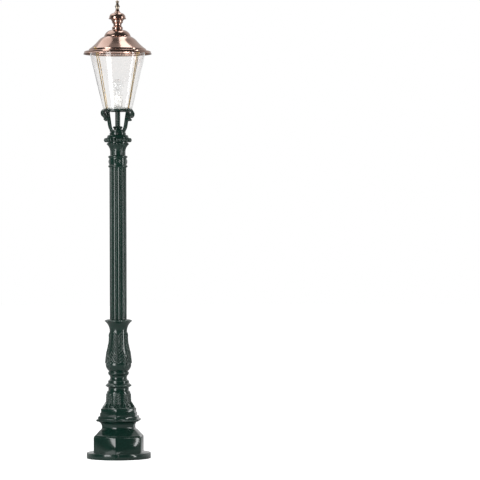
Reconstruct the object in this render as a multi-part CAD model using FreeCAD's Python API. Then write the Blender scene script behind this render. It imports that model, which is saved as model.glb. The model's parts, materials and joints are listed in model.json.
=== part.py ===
import FreeCAD, Part
import math
import os

from FreeCAD import Placement, Rotation, Vector

# Garden lamp: a cast post on a hexagonal foot, a scrolled bracket, and a lantern with a clear
# glass cone under a spun copper hood. Millimetres, +Z up, origin on the ground on the axis.

# Driving dimensions
cast_wall = 7.0
slip_fit = 0.2             # radial gap of spigots, sockets and screws
upper_turn = 4.2           # degrees that the column and lantern are turned on the baluster

# Foot: round plate and hexagonal mouldings, sizes across the flats given as apothems
plate_radius = 160.0
plate_height = 29.5
plate_edge = 2.5
plinth_apothem = 118.4
plinth_height = 76.5
plinth_round = 9.0
shoulder_height = 47.0
waist_apothem = 79.4
waist_height = 5.0
flange_apothem = 105.5
flange_collar_apothem = 97.0
cove_height = 28.0
flange_height = 25.0
lower_block_apothem = 88.2
lower_block_height = 19.0
upper_block_apothem = 83.5
upper_block_height = 20.0
moulding_step = 2.5
corner_round = 1.6
anchor_hole_radius = 6.5
anchor_count = 3
foot_top_plate = 12.0

# Baluster: turned and leaf-covered
baluster_bore = 33.0
baluster_foot_radius = 81.5
flare_height = 24.0
drum_radius = 60.0
drum_height = 64.0
drum_neck_radius = 51.0
drum_neck_height = 16.0
lower_ring_radius = 65.0
lower_ring_height = 20.0
scotia_height = 44.0
scotia_step = 13.0
upper_ring_radius = 52.6
upper_ring_height = 17.0
bulb_radius = 62.4
bulb_height = 197.0
calyx_height = 62.0
calyx_overhang = 26.0      # reach of the calyx beyond the column
calyx_rim = 10.0
calyx_tips = 12
tip_notch_radius = 8.0
socket_depth = 34.0
spigot_length = 12.0
leaf_count = 4
leaf_turn = 36.0           # degrees from a leaf's midrib to its edge
leaf_rows = 12             # pairs of fingers on a tall leaf
leaf_finger = 6.2          # half width of a finger at its root
leaf_sink = 1.2            # depth of a finger's axis under the skin
drum_leaf_count = 8
drum_leaf_turn = 17.0
drum_leaf_rows = 4
drum_finger = 3.4
tongue_count = 16
tongue_width = 5.5
baluster_bolt_radius = 5.0
baluster_bolt_count = 3
bolt_thread_length = 20.0
bolt_hole_spare = 2.0

# Column
column_radius = 42.5
column_wall = 5.5
column_length = 790.5
flute_count = 16
flute_depth = 2.6
flute_land = 4.0           # degrees of ridge between two flutes

# Capital
astragal_radius = 48.6
astragal_height = 13.0
band_radius = 43.9
band_height = 34.0
bell_foot_radius = 36.4
bell_top_radius = 50.5
bell_height = 53.0
pearl_count = 24
pearl_radius = 4.2
pearl_reach = 5.0
pearl_band_height = 9.0
capital_neck_radius = 50.0
capital_neck_height = 5.5
bead_count = 24
bead_radius = 7.2
bead_height = 19.0
bead_ring_radius = 62.0
abacus_radius = 54.8
abacus_top_radius = 51.3
abacus_height = 15.5
bell_leaf_count = 6
bell_leaf_relief = 2.0
bell_rib_width = 2.4
bell_rib_turn = 7.0        # degrees from the joint of two leaves to the ribs on either side of it
dart_half_width = 10.0
dart_length = 17.0
rosette_count = 3
rosette_radius = 16.0
rosette_rim = 1.6
capital_bore = 30.0
capital_spigot_radius = 34.0
capital_spigot_height = 15.0
column_spigot_length = 40.0

# Lantern bracket
socket_radius = 41.0
socket_groove = 3.2
socket_height = 26.0
hub_radius = 20.0
hub_height = 12.0
hub_curl_count = 8
hub_curl_radius = 5.0
arm_count = 4
arm_width = 17.0
arm_thickness = 6.5
arm_rise = 118.5           # from the bracket's foot to the underside of its ring
scroll_radius = 20.0
scroll_band = 6.0
hook_thickness = 11.0
hook_reach = 21.0
ring_margin = 3.5          # reach of the ring beyond the foot of the glass
ring_ledge = 4.0           # width of the step that carries the lantern floor
ring_height = 9.0
ring_round = 2.0
floor_inset = 8.5          # from the foot of the glass in to the edge of the lantern floor
floor_thickness = 4.0
set_screw_count = 3
set_screw_radius = 2.8
set_screw_head_radius = 4.6
set_screw_head_height = 2.6

# Lamp tube, threaded nipple and lampholder
tube_radius = 12.7
tube_bore = 9.0
nipple_radius = 5.0
nipple_bore = 3.6
nut_height = 6.0
nut_across_flats = 14.0
holder_foot_radius = 22.0
holder_top_radius = 25.0
holder_height = 53.0
holder_ring_radius = 23.5
holder_ring_height = 19.0
sleeve_radius = 14.7
sleeve_wall = 0.8
sleeve_height = 20.0
sleeve_rise = 5.0          # of the sleeve's head above the cup
contact_height = 2.0
holder_foot_cavity = 18.0
holder_cavity_radius = 15.0

# Bulb
bulb_cap_radius = 13.3
bulb_cap_height = 25.0
bulb_cap_wall = 0.6
bulb_glass_radius = 30.0
bulb_glass_height = 88.0
bulb_glass_wall = 0.8
stem_radius = 4.0
stem_height = 36.0
button_height = 54.0
wire_radius = 0.5
filament_half_span = 15.0

# Glass cone, its seat and the guard rods
seat_height = 3.0
seat_lip = 6.0
glass_foot_radius = 72.5
glass_top_radius = 139.2
glass_height = 280.0
glass_wall = 3.0
rod_count = 4
rod_radius = 2.3
glass_head_room = 11.5     # from the top of the glass up to the hood's flange
rod_foot_gap = 4.5         # from the line of the glass out to a rod's axis, at the rod's foot
rod_top_gap = 6.6          # the same at the hood's flange
rod_socket_depth = 12.0
rod_boss_radius = 5.5
rod_collar_radius = 4.0
rod_collar_height = 3.5
rod_thread_length = 9.0
cap_nut_height = 12.0
cap_nut_across_flats = 8.0
cap_nut_base = 5.0
nutted_rods = (1, 3)

# Spun copper hood, chimney and finial
copper_sheet = 1.2
flange_inner_land = 5.6    # from a rod's axis in to the bell's step
flange_outer_land = 11.5   # from a rod's axis out to the round of the rim
rim_round = 7.0
lip_flare = 4.0
lip_drop = 16.0
bell_step_height = 6.3
bell_rise = 63.0           # from the head of the step to the top of the hood
bell_crown_radius = 66.4
bell_vent_radius = 44.0
dome_height = 32.5
dome_top_radius = 30.0
chimney_foot_radius = 28.0
chimney_waist_radius = 23.5
chimney_ridge_radius = 27.5
chimney_top_radius = 36.8
chimney_height = 55.0
cap_lip_radius = 43.4
cap_radius = 40.6
cap_height = 48.0
cap_neck_radius = 9.0
finial_waist_radius = 8.5
finial_max_radius = 13.2
finial_neck_radius = 5.8
finial_ball_radius = 8.9
finial_height = 45.0
finial_thread = 14.0
stud_radius = 4.0
stud_tail = 20.0
stud_nut_across_flats = 13.0
bridge_length = 112.0
bridge_width = 18.0
bridge_thickness = 4.0

# Levels
foot_height = (plate_height + plinth_height + shoulder_height + waist_height + cove_height
               + flange_height + lower_block_height + upper_block_height)
baluster_height = (flare_height + drum_height + drum_neck_height + lower_ring_height
                   + scotia_height + upper_ring_height + bulb_height + calyx_height)
column_foot_z = foot_height + baluster_height - socket_depth
capital_z = column_foot_z + column_length
capital_height = (2 * astragal_height + band_height + bell_height + pearl_band_height
                  + capital_neck_height + bead_height + abacus_height)
bracket_z = capital_z + capital_height
hub_top_z = bracket_z + socket_height + hub_height
ring_z = bracket_z + arm_rise
ring_top_z = ring_z + ring_height
floor_z = ring_top_z - floor_thickness
floor_radius = glass_foot_radius - floor_inset
ring_inner_radius = floor_radius - ring_ledge
ring_outer_radius = glass_foot_radius + ring_margin
holder_top_z = ring_top_z + holder_height
sleeve_z = holder_top_z + sleeve_rise - sleeve_height
bulb_z = sleeve_z + contact_height
bulb_glass_z = bulb_z + bulb_cap_height
glass_z = ring_top_z + seat_height
flange_z = glass_z + glass_height + glass_head_room
glass_slope = (glass_top_radius - glass_foot_radius) / glass_height
rod_foot_radius = glass_foot_radius - seat_height * glass_slope + rod_foot_gap
rod_top_radius = glass_top_radius + glass_head_room * glass_slope + rod_top_gap
rod_height = flange_z - ring_top_z
rod_slope = (rod_top_radius - rod_foot_radius) / rod_height
bell_step_radius = rod_top_radius - flange_inner_land
flange_outer_radius = rod_top_radius + flange_outer_land
rim_radius = flange_outer_radius + rim_round
lip_radius = rim_radius + lip_flare
step_z = flange_z + (rod_top_radius - bell_step_radius) * rod_slope
hood_top_z = step_z + bell_step_height + bell_rise
dome_top_z = hood_top_z + dome_height
chimney_top_z = dome_top_z + chimney_height
cap_top_z = chimney_top_z + cap_height

# Fits
column_bore = column_radius - flute_depth - column_wall
anchor_circle = (plinth_apothem + plate_radius) / 2.0
foot_bore = baluster_bore + cast_wall
scotia_radius = baluster_bore + cast_wall + 1.8
calyx_throat_radius = column_radius + 1.0
calyx_radius = column_radius + calyx_overhang
baluster_bolt_circle = (foot_bore + drum_radius) / 2.0 + 2.0

AXIS = Vector(0, 0, 1)
ORIGIN = Vector(0, 0, 0)


def outline_edges(points):
    """Edges in the XZ plane through (x, z, bulge) points.

    A point's bulge shapes the edge that ends there: zero is straight, and any other value is
    the rise of an arc over half its chord, positive to the right of the way along it.
    """
    edges = []
    for (x0, z0, _), (x1, z1, bulge) in zip(points, points[1:]):
        start = Vector(x0, 0, z0)
        end = Vector(x1, 0, z1)
        if bulge:
            rise = Vector(z1 - z0, 0, x0 - x1) * (bulge / 2.0)
            edges.append(Part.Arc(start, (start + end) * 0.5 + rise, end).toShape())
        else:
            edges.append(Part.makeLine(start, end))
    return edges


def closed_face(points):
    """Face inside the outline through the points, closed by a straight edge."""
    first = points[0]
    return Part.Face(Part.Wire(outline_edges(list(points) + [(first[0], first[1], 0)])))


def turned(points):
    """Solid turned about the axis from a closed (radius, z, bulge) outline."""
    return closed_face(points).revolve(ORIGIN, AXIS, 360)


def spun(points, thickness):
    """Sheet spun about the axis: the points give its outer side, with the inside on the left."""
    section = Part.Wire(outline_edges(points)).makeOffset2D(thickness, 0, True, True, False)
    return section.revolve(ORIGIN, AXIS, 360)


def crown(radius, rise):
    """Bulge of an arc that starts at a radius and ends level on the axis."""
    return math.tan(math.atan2(rise, radius) / 2)


def mirrored_face(points):
    """Face between a rising (x, z, bulge) outline and its mirror image across the axis."""
    falling = []
    bulge = 0
    for x, z, next_bulge in reversed(points):
        falling.append((-x, z, bulge))
        bulge = next_bulge
    return closed_face(list(points) + falling)


def moulding(points, span):
    """Slab whose edge follows a rising (apothem, z, bulge) outline on both sides of the axis."""
    slab = mirrored_face(points).extrude(Vector(0, 2 * span, 0))
    return slab.translated(Vector(0, -span, 0))


def hexagonal(points, corner):
    """Mitred hexagonal moulding with flats square to X and its corners eased by a given depth."""
    span = 2 * max(apothem for apothem, _, _ in points)
    to_corner = 1.0 / math.cos(math.pi / 6)
    slabs = [moulding(points, span)]
    if corner:
        eased = [(apothem * to_corner - corner, z, bulge) for apothem, z, bulge in points]
        slabs.append(moulding(eased, span).rotated(ORIGIN, AXIS, 30))
    solid = None
    for slab in slabs:
        for turn in (0, 60, 120):
            piece = slab.rotated(ORIGIN, AXIS, turn)
            solid = piece if solid is None else solid.common(piece)
    return solid


def polar(shape, count, start=0.0):
    """Copies of a shape spread evenly about the axis."""
    return [shape.rotated(ORIGIN, AXIS, start + 360.0 * i / count) for i in range(count)]


def rod_between(start, end, radius):
    """Round bar from one point to another."""
    run = end - start
    return Part.makeCylinder(radius, run.Length, start, run)


def hex_prism(across_flats, height):
    """Upright hexagonal prism standing on the XY plane."""
    radius = across_flats / math.sqrt(3)
    corners = [Vector(radius * math.cos(math.pi * k / 3), radius * math.sin(math.pi * k / 3), 0)
               for k in range(7)]
    return Part.Face(Part.makePolygon(corners)).extrude(Vector(0, 0, height))


def cut_gem(levels):
    """Eight-sided bead with plane facets, through (radius, z) levels from its foot up."""
    def corners(radius, z):
        angles = [math.pi * (k + 0.5) / 4 for k in range(8)]
        return [Vector(radius * math.cos(a), radius * math.sin(a), z) for a in angles]

    rings = [corners(radius, z) for radius, z in levels]
    loops = [rings[0], rings[-1]]
    for low, high in zip(rings, rings[1:]):
        loops += [[low[k - 1], low[k], high[k], high[k - 1]] for k in range(8)]
    return Part.Solid(Part.Shell([Part.Face(Part.makePolygon(loop + loop[:1])) for loop in loops]))


def radius_at(outline, z):
    """Radius of a rising (radius, z, bulge) outline at a height."""
    reach = 2 * max(point[0] for point in outline)
    level = Part.makeLine(Vector(0, 0, z), Vector(reach, 0, z))
    return Part.Wire(outline_edges(outline)).distToShape(level)[1][0][0].x


def skin_point(outline, turn, z, sink):
    """Point under a turned skin, at an angle from -Y and a height."""
    radius = radius_at(outline, z) - sink
    angle = math.radians(turn)
    return Vector(radius * math.sin(angle), -radius * math.cos(angle), z)


def ridge(start, end, root, tip):
    """Roof-shaped ridge that leans out from the axis and tapers from its root to its tip."""
    run = (end - start).normalize()
    out = (start + end) * 0.5
    out.z = 0
    side = run.cross(out).normalize()
    out = side.cross(run)

    def section(centre, size):
        return [centre + side * size - out * size, centre + out * size, centre - side * size - out * size]

    first = section(start, root)
    last = section(end, tip)
    loops = [first, last]
    loops += [[first[k - 1], first[k], last[k], last[k - 1]] for k in range(3)]
    return Part.Solid(Part.Shell([Part.Face(Part.makePolygon(loop + loop[:1])) for loop in loops]))


def carved_leaf(outline, foot, tip, half_turn, rows, root, sink):
    """Feathered leaf on a turned skin, facing -Y: a midrib with fingers that fan up and out."""
    pitch = (tip - foot) / (rows + 1)
    stem = [skin_point(outline, 0, foot + pitch * i, sink) for i in range(0, rows + 2, 2)]
    pieces = [ridge(a, b, root, 0.95 * root) for a, b in zip(stem, stem[1:])]
    for i in range(rows):
        z = foot + pitch * i
        spread = half_turn * (1.0 - 0.35 * i / rows)
        rise = min(1.9 * pitch, tip - z)
        for side in (-1, 1):
            pieces.append(ridge(skin_point(outline, 0.12 * side * spread, z, sink),
                                skin_point(outline, side * spread, z + rise, sink), root, 0.6 * root))
    return pieces[0].fuse(pieces[1:])


def build_foot():
    """Cast foot: round plate, hexagonal plinth, waist, flange and blocks, hollow from below."""
    plinth_top = plate_height + plinth_height
    waist_z = plinth_top + shoulder_height
    cove_z = waist_z + waist_height
    flange_foot = cove_z + cove_height
    block_z = flange_foot + flange_height
    upper_z = block_z + lower_block_height
    step = moulding_step
    body = hexagonal([
        (plinth_apothem, plate_height / 2, 0),
        (plinth_apothem, plinth_top, 0),
        (plinth_apothem - plinth_round, plinth_top + 1.4 * plinth_round, 0.2),
        (waist_apothem + plinth_round, waist_z - 1.1 * plinth_round, 0),
        (waist_apothem, waist_z, -0.2),
        (waist_apothem, cove_z, 0),
        (flange_apothem - step, flange_foot, -0.42),
        (flange_apothem, flange_foot + 0.12 * flange_height, 0),
        (flange_apothem, flange_foot + 0.36 * flange_height, 0.2),
        (flange_collar_apothem, flange_foot + 0.64 * flange_height, -0.2),
        (flange_collar_apothem, block_z - step, 0),
        (flange_collar_apothem - step, block_z, 0),
        (lower_block_apothem, block_z, 0),
        (lower_block_apothem, upper_z - step, 0),
        (upper_block_apothem, upper_z, 0),
        (upper_block_apothem, foot_height - step, 0),
        (upper_block_apothem - step, foot_height, 0.4),
    ], corner_round)
    plate = turned([
        (0, 0, 0),
        (plate_radius - plate_edge, 0, 0),
        (plate_radius, plate_edge, 0.4),
        (plate_radius, plate_height - plate_edge, 0),
        (plate_radius - plate_edge, plate_height, 0.4),
        (0, plate_height, 0),
    ])
    cavity = hexagonal([
        (plinth_apothem - cast_wall, 0, 0),
        (plinth_apothem - cast_wall, plinth_top - cast_wall, 0),
        (waist_apothem - cast_wall, waist_z, 0),
        (waist_apothem - cast_wall, foot_height - foot_top_plate, 0),
    ], 0)
    anchor = Part.makeCylinder(anchor_hole_radius, plate_height, Vector(anchor_circle, 0, 0))
    bolt_hole = Part.makeCylinder(baluster_bolt_radius + slip_fit, foot_height,
                                  Vector(baluster_bolt_circle, 0, 0))
    bore = Part.makeCylinder(foot_bore, foot_height)
    holes = polar(anchor, anchor_count, 60) + polar(bolt_hole, baluster_bolt_count)
    return body.fuse(plate).cut([cavity, bore] + holes)


def bulb_outline():
    """Rising outside of the bulb between the upper ring and the calyx."""
    foot = foot_height + baluster_height - calyx_height - bulb_height
    return [
        (0.91 * upper_ring_radius, foot, 0),
        (bulb_radius, foot + 0.22 * bulb_height, 0.3),
        (0.84 * bulb_radius, foot + 0.56 * bulb_height, 0.06),
        (calyx_throat_radius + 1.0, foot + 0.82 * bulb_height, -0.08),
        (calyx_throat_radius, foot + bulb_height, -0.03),
    ]


def drum_outline():
    """Rising outside of the drum and the flare under it."""
    flare_z = foot_height + flare_height
    return [
        (baluster_foot_radius, foot_height, 0),
        (baluster_foot_radius, foot_height + 4.0, 0),
        (drum_radius + 1.5, flare_z, -0.3),
        (drum_radius, flare_z + 0.5 * drum_height, 0),
        (0.97 * drum_radius, flare_z + 0.88 * drum_height, 0.03),
        (drum_neck_radius, flare_z + drum_height, 0.3),
    ]


def to_axis(points):
    """Outline closed along the axis."""
    return [(0, points[0][1], 0)] + list(points) + [(0, points[-1][1], 0)]


def build_baluster():
    """Cast baluster: drum, rings, leaf-covered bulb, and a calyx that sockets the column."""
    flare_z = foot_height + flare_height
    neck_z = flare_z + drum_height
    lower_ring_z = neck_z + drum_neck_height
    scotia_z = lower_ring_z + lower_ring_height
    upper_ring_z = scotia_z + scotia_height
    bulb_z = upper_ring_z + upper_ring_height
    calyx_z = bulb_z + bulb_height
    top = calyx_z + calyx_height
    ring_core = 0.84 * lower_ring_radius
    ring_edge = 0.1 * lower_ring_height
    ring_mid = lower_ring_z + 0.45 * lower_ring_height
    upper_core = 0.9 * upper_ring_radius
    upper_swell = 2 * (upper_ring_radius - upper_core) / (0.9 * upper_ring_height)
    scotia_lip = scotia_radius + 10.5
    scotia_hollow = 2 * (scotia_radius - scotia_lip) / (scotia_height - scotia_step)
    body = turned(to_axis(
        drum_outline()
        + [(drum_neck_radius, lower_ring_z, 0),
           (ring_core, lower_ring_z, 0),
           (lower_ring_radius, ring_mid - ring_edge, 0),
           (lower_ring_radius, ring_mid + ring_edge, 0),
           (ring_core, scotia_z, 0),
           (scotia_lip, scotia_z, 0),
           (scotia_lip, scotia_z + scotia_step, 0),
           (scotia_lip, upper_ring_z, scotia_hollow),
           (upper_core, upper_ring_z, 0),
           (upper_core, upper_ring_z + 0.9 * upper_ring_height, upper_swell)]
        + bulb_outline()
        + [(calyx_radius, top - calyx_rim, -0.25),
           (calyx_radius, top - 0.75 * calyx_rim, 0),
           (calyx_radius - 0.5 * calyx_rim, top - 0.4 * calyx_rim, 0.2),
           (column_radius + 0.3 * calyx_rim, top, 0.1)]))
    tip_notch = Part.makeCylinder(tip_notch_radius, calyx_height / 2,
                                  Vector(calyx_radius + 0.56 * tip_notch_radius, 0, top - 2.2 * calyx_rim))
    body = body.cut(polar(tip_notch, calyx_tips, 180.0 / calyx_tips))

    tall = carved_leaf(bulb_outline(), bulb_z + 0.2 * bulb_height, calyx_z - leaf_finger,
                       leaf_turn, leaf_rows, leaf_finger, leaf_sink)
    short = carved_leaf(bulb_outline(), bulb_z + 0.07 * bulb_height, bulb_z + 0.5 * bulb_height,
                        0.45 * leaf_turn, leaf_rows // 3, leaf_finger, leaf_sink)
    drum_leaf = carved_leaf(drum_outline(), flare_z, neck_z - drum_finger,
                            drum_leaf_turn, drum_leaf_rows, drum_finger, leaf_sink / 2)
    flare = drum_outline()[1:3]
    tongue = ridge(skin_point(drum_outline(), 0, flare[1][1] + tongue_width, 0),
                   skin_point(drum_outline(), 0, flare[0][1], tongue_width / 2),
                   tongue_width, 0.8 * tongue_width)
    leaves = (polar(tall, leaf_count) + polar(short, leaf_count, 180.0 / leaf_count)
              + polar(drum_leaf, drum_leaf_count) + polar(tongue, tongue_count, 180.0 / tongue_count))
    body = body.fuse(leaves)

    spigot = turned([
        (0, foot_height - spigot_length, 0),
        (foot_bore - slip_fit, foot_height - spigot_length, 0),
        (foot_bore - slip_fit, foot_height, 0),
        (0, foot_height, 0),
    ])
    bore = Part.makeCylinder(baluster_bore, baluster_height + spigot_length,
                             Vector(0, 0, foot_height - spigot_length))
    socket = Part.makeCylinder(column_radius + slip_fit, socket_depth, Vector(0, 0, column_foot_z))
    bolt_hole = Part.makeCylinder(baluster_bolt_radius + slip_fit, bolt_thread_length + bolt_hole_spare,
                                  Vector(baluster_bolt_circle, 0, foot_height))
    return body.fuse(spigot).cut([bore, socket] + polar(bolt_hole, baluster_bolt_count))


def build_baluster_bolts():
    """Hexagon bolts that hold the baluster down, with their heads inside the foot."""
    head_height = 1.3 * baluster_bolt_radius
    seat_z = foot_height - foot_top_plate
    head = hex_prism(3.4 * baluster_bolt_radius, head_height).translated(
        Vector(baluster_bolt_circle, 0, seat_z - head_height))
    shank = Part.makeCylinder(baluster_bolt_radius, foot_top_plate + bolt_thread_length,
                              Vector(baluster_bolt_circle, 0, seat_z))
    return Part.makeCompound(polar(head.fuse(shank), baluster_bolt_count))


def build_column():
    """Fluted tube that stands in the calyx."""
    pitch = 2 * math.pi / flute_count
    half_land = math.radians(flute_land) / 2

    def on_circle(radius, angle):
        return Vector(radius * math.cos(angle), radius * math.sin(angle), 0)

    edges = []
    for i in range(flute_count):
        start = (i - 0.5) * pitch
        end = start + pitch
        groove = [on_circle(column_radius, start + half_land),
                  on_circle(column_radius - flute_depth, start + pitch / 2),
                  on_circle(column_radius, end - half_land)]
        land = [groove[2], on_circle(column_radius, end), on_circle(column_radius, end + half_land)]
        edges.append(Part.Arc(*groove).toShape())
        edges.append(Part.Arc(*land).toShape())
    section = Part.Face([Part.Wire(edges), Part.Wire(Part.makeCircle(column_bore))])
    return section.extrude(Vector(0, 0, column_length)).translated(Vector(0, 0, column_foot_z))


def bell_outline(relief):
    """Rising outside of the capital's bell, swollen by a relief."""
    foot = capital_z + 2 * astragal_height + band_height
    return [
        (bell_foot_radius + relief, foot, 0),
        (bell_foot_radius + relief, foot + 0.3 * bell_height, 0),
        (bell_top_radius + relief, foot + bell_height, -0.22),
    ]


def bell_ornament(foot):
    """One leaf's share of the bell's relief: two ribs at its edges and a dart at its head."""
    reach = 2 * bell_top_radius
    skin = turned(to_axis(bell_outline(bell_leaf_relief)))
    rib = Part.makeBox(bell_rib_width, reach, bell_height, Vector(-bell_rib_width / 2, -reach, foot))
    edge = 180.0 / bell_leaf_count - bell_rib_turn
    ribs = [rib.rotated(ORIGIN, AXIS, side * edge) for side in (-1, 1)]
    top = foot + bell_height
    dart = Part.Face(Part.makePolygon([
        Vector(-dart_half_width, 0, top),
        Vector(0, 0, top - dart_length),
        Vector(dart_half_width, 0, top),
        Vector(-dart_half_width, 0, top),
    ])).extrude(Vector(0, -reach, 0))
    return [piece.common(skin) for piece in ribs + [dart]]


def build_capital():
    """Cast capital: astragals, rosette band, leaf bell, pearls, bead ring and abacus."""
    band_z = capital_z + astragal_height
    upper_z = band_z + band_height
    bell_z = upper_z + astragal_height
    pearl_z = bell_z + bell_height
    neck_z = pearl_z + pearl_band_height
    bead_z = neck_z + capital_neck_height
    abacus_z = bead_z + bead_height
    step = moulding_step
    half_round = 2 * (astragal_radius - band_radius) / (astragal_height - step)
    bead_core = bead_ring_radius - 0.8 * bead_radius
    body = turned(to_axis(
        [(band_radius, capital_z, 0),
         (band_radius, capital_z + step / 2, 0),
         (band_radius, band_z - step / 2, half_round),
         (band_radius, upper_z + step / 2, 0),
         (band_radius, bell_z - step / 2, half_round),
         (band_radius - step / 2, bell_z, 0)]
        + bell_outline(0)
        + [(capital_neck_radius, pearl_z, 0),
           (capital_neck_radius, bead_z, 0),
           (bead_core, bead_z + 0.3 * bead_height, 0),
           (bead_core, abacus_z - 0.2 * bead_height, 0),
           (abacus_radius, abacus_z, 0),
           (abacus_radius, abacus_z + step, 0),
           (abacus_top_radius, bracket_z - step, 0),
           (abacus_top_radius - step, bracket_z, 0)]))
    pearl = cut_gem([(pearl_radius, -pearl_reach / 2), (pearl_radius, 0), (pearl_radius / 2, pearl_reach / 2)])
    pearl.Placement = Placement(Vector(capital_neck_radius, 0, pearl_z + pearl_band_height / 2),
                                Rotation(AXIS, Vector(1, 0, 0)))
    half_bead = bead_height / 2
    bead = cut_gem([
        (0.5 * bead_radius, -half_bead),
        (bead_radius, -0.4 * half_bead),
        (bead_radius, 0.4 * half_bead),
        (0.5 * bead_radius, half_bead),
    ]).translated(Vector(bead_ring_radius, 0, bead_z + half_bead))
    rosette = turned([
        (0, -0.2 * rosette_radius, 0),
        (rosette_radius, -0.2 * rosette_radius, 0),
        (rosette_radius, rosette_rim, 0),
        (0.75 * rosette_radius, rosette_rim, 0),
        (0.66 * rosette_radius, 0.2 * rosette_rim, 0),
        (0.42 * rosette_radius, 0.2 * rosette_rim, 0),
        (0.2 * rosette_radius, 2.4 * rosette_rim, 0),
        (0, 2.4 * rosette_rim, 0),
    ])
    rosette.Placement = Placement(Vector(0, -band_radius, upper_z - band_height / 2),
                                  Rotation(AXIS, Vector(0, -1, 0)))
    body = body.fuse(polar(pearl, pearl_count) + polar(bead, bead_count)
                     + polar(rosette, rosette_count)
                     + [copy for piece in bell_ornament(bell_z) for copy in polar(piece, bell_leaf_count)])
    lower_spigot = Part.makeCylinder(column_bore - slip_fit, column_spigot_length,
                                     Vector(0, 0, capital_z - column_spigot_length))
    upper_spigot = Part.makeCylinder(capital_spigot_radius, capital_spigot_height,
                                     Vector(0, 0, bracket_z))
    bore = Part.makeCylinder(capital_bore, capital_height + column_spigot_length + capital_spigot_height,
                             Vector(0, 0, capital_z - column_spigot_length))
    return body.fuse([lower_spigot, upper_spigot]).cut(bore)


def arm_turns():
    """Angles about the axis of the bracket's arms and of the rods that stand on them."""
    return [45.0 + 360.0 * i / arm_count for i in range(arm_count)]


def strip(points, thickness):
    """Flat strip of metal on the left of a path, as wide as an arm, in the XZ plane."""
    section = Part.Wire(outline_edges(points)).makeOffset2D(thickness, 2, True, True, False)
    return section.extrude(Vector(0, arm_width, 0)).translated(Vector(0, -arm_width / 2, 0))


def build_arm():
    """Bracket arm along +X: strap, outward scroll with a curled end, and a hook under it."""
    strap_foot_z = bracket_z + 0.7 * socket_height
    strap_bend_z = hub_top_z + 8.0
    bend_x = socket_radius + 18.0
    top_x = ring_outer_radius - 1.0
    top_z = ring_z + ring_height / 2
    strap = strip([
        (socket_radius + 1.0, strap_foot_z, 0),
        (bend_x, strap_bend_z, 0.14),
        (top_x, top_z, 0),
    ], arm_thickness)

    eye_x = top_x + 0.65 * scroll_radius
    eye_z = ring_top_z - scroll_radius
    curl_radius = 0.55 * scroll_radius
    first, turn, last = (math.radians(a) for a in (140, -100, -250))
    shift = scroll_radius - curl_radius
    curl_x = eye_x + shift * math.cos(turn)
    curl_z = eye_z + shift * math.sin(turn)

    def arc(x, z, radius, start, end):
        points = [Vector(x + radius * math.cos(a), 0, z + radius * math.sin(a))
                  for a in (start, (start + end) / 2, end)]
        return Part.Arc(*points).toShape()

    path = Part.Wire([arc(eye_x, eye_z, scroll_radius, first, turn),
                      arc(curl_x, curl_z, curl_radius, turn, last)])
    scroll = path.makeOffset2D(-scroll_band, 0, True, True, False)
    scroll = scroll.extrude(Vector(0, arm_width, 0)).translated(Vector(0, -arm_width / 2, 0))

    hook_z = eye_z - scroll_radius - 0.85 * hook_thickness
    hook_root = bend_x + (top_x - bend_x) * (hook_z - strap_bend_z) / (top_z - strap_bend_z) - 3.0
    hook = closed_face([
        (hook_root, hook_z - 0.75 * hook_thickness, 0),
        (hook_root + hook_reach, hook_z - 0.5 * hook_thickness, -0.15),
        (hook_root + hook_reach, hook_z + 0.5 * hook_thickness, 1.0),
        (hook_root, hook_z + 0.4 * hook_thickness, 0.15),
    ]).extrude(Vector(0, arm_width, 0)).translated(Vector(0, -arm_width / 2, 0))
    boss_x = rod_foot_radius - ring_height * rod_slope / 2
    boss = Part.makeCylinder(rod_boss_radius, ring_height + 4.0, Vector(boss_x, 0, ring_z - 4.0))
    return strap.fuse([scroll, hook, boss])


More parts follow.
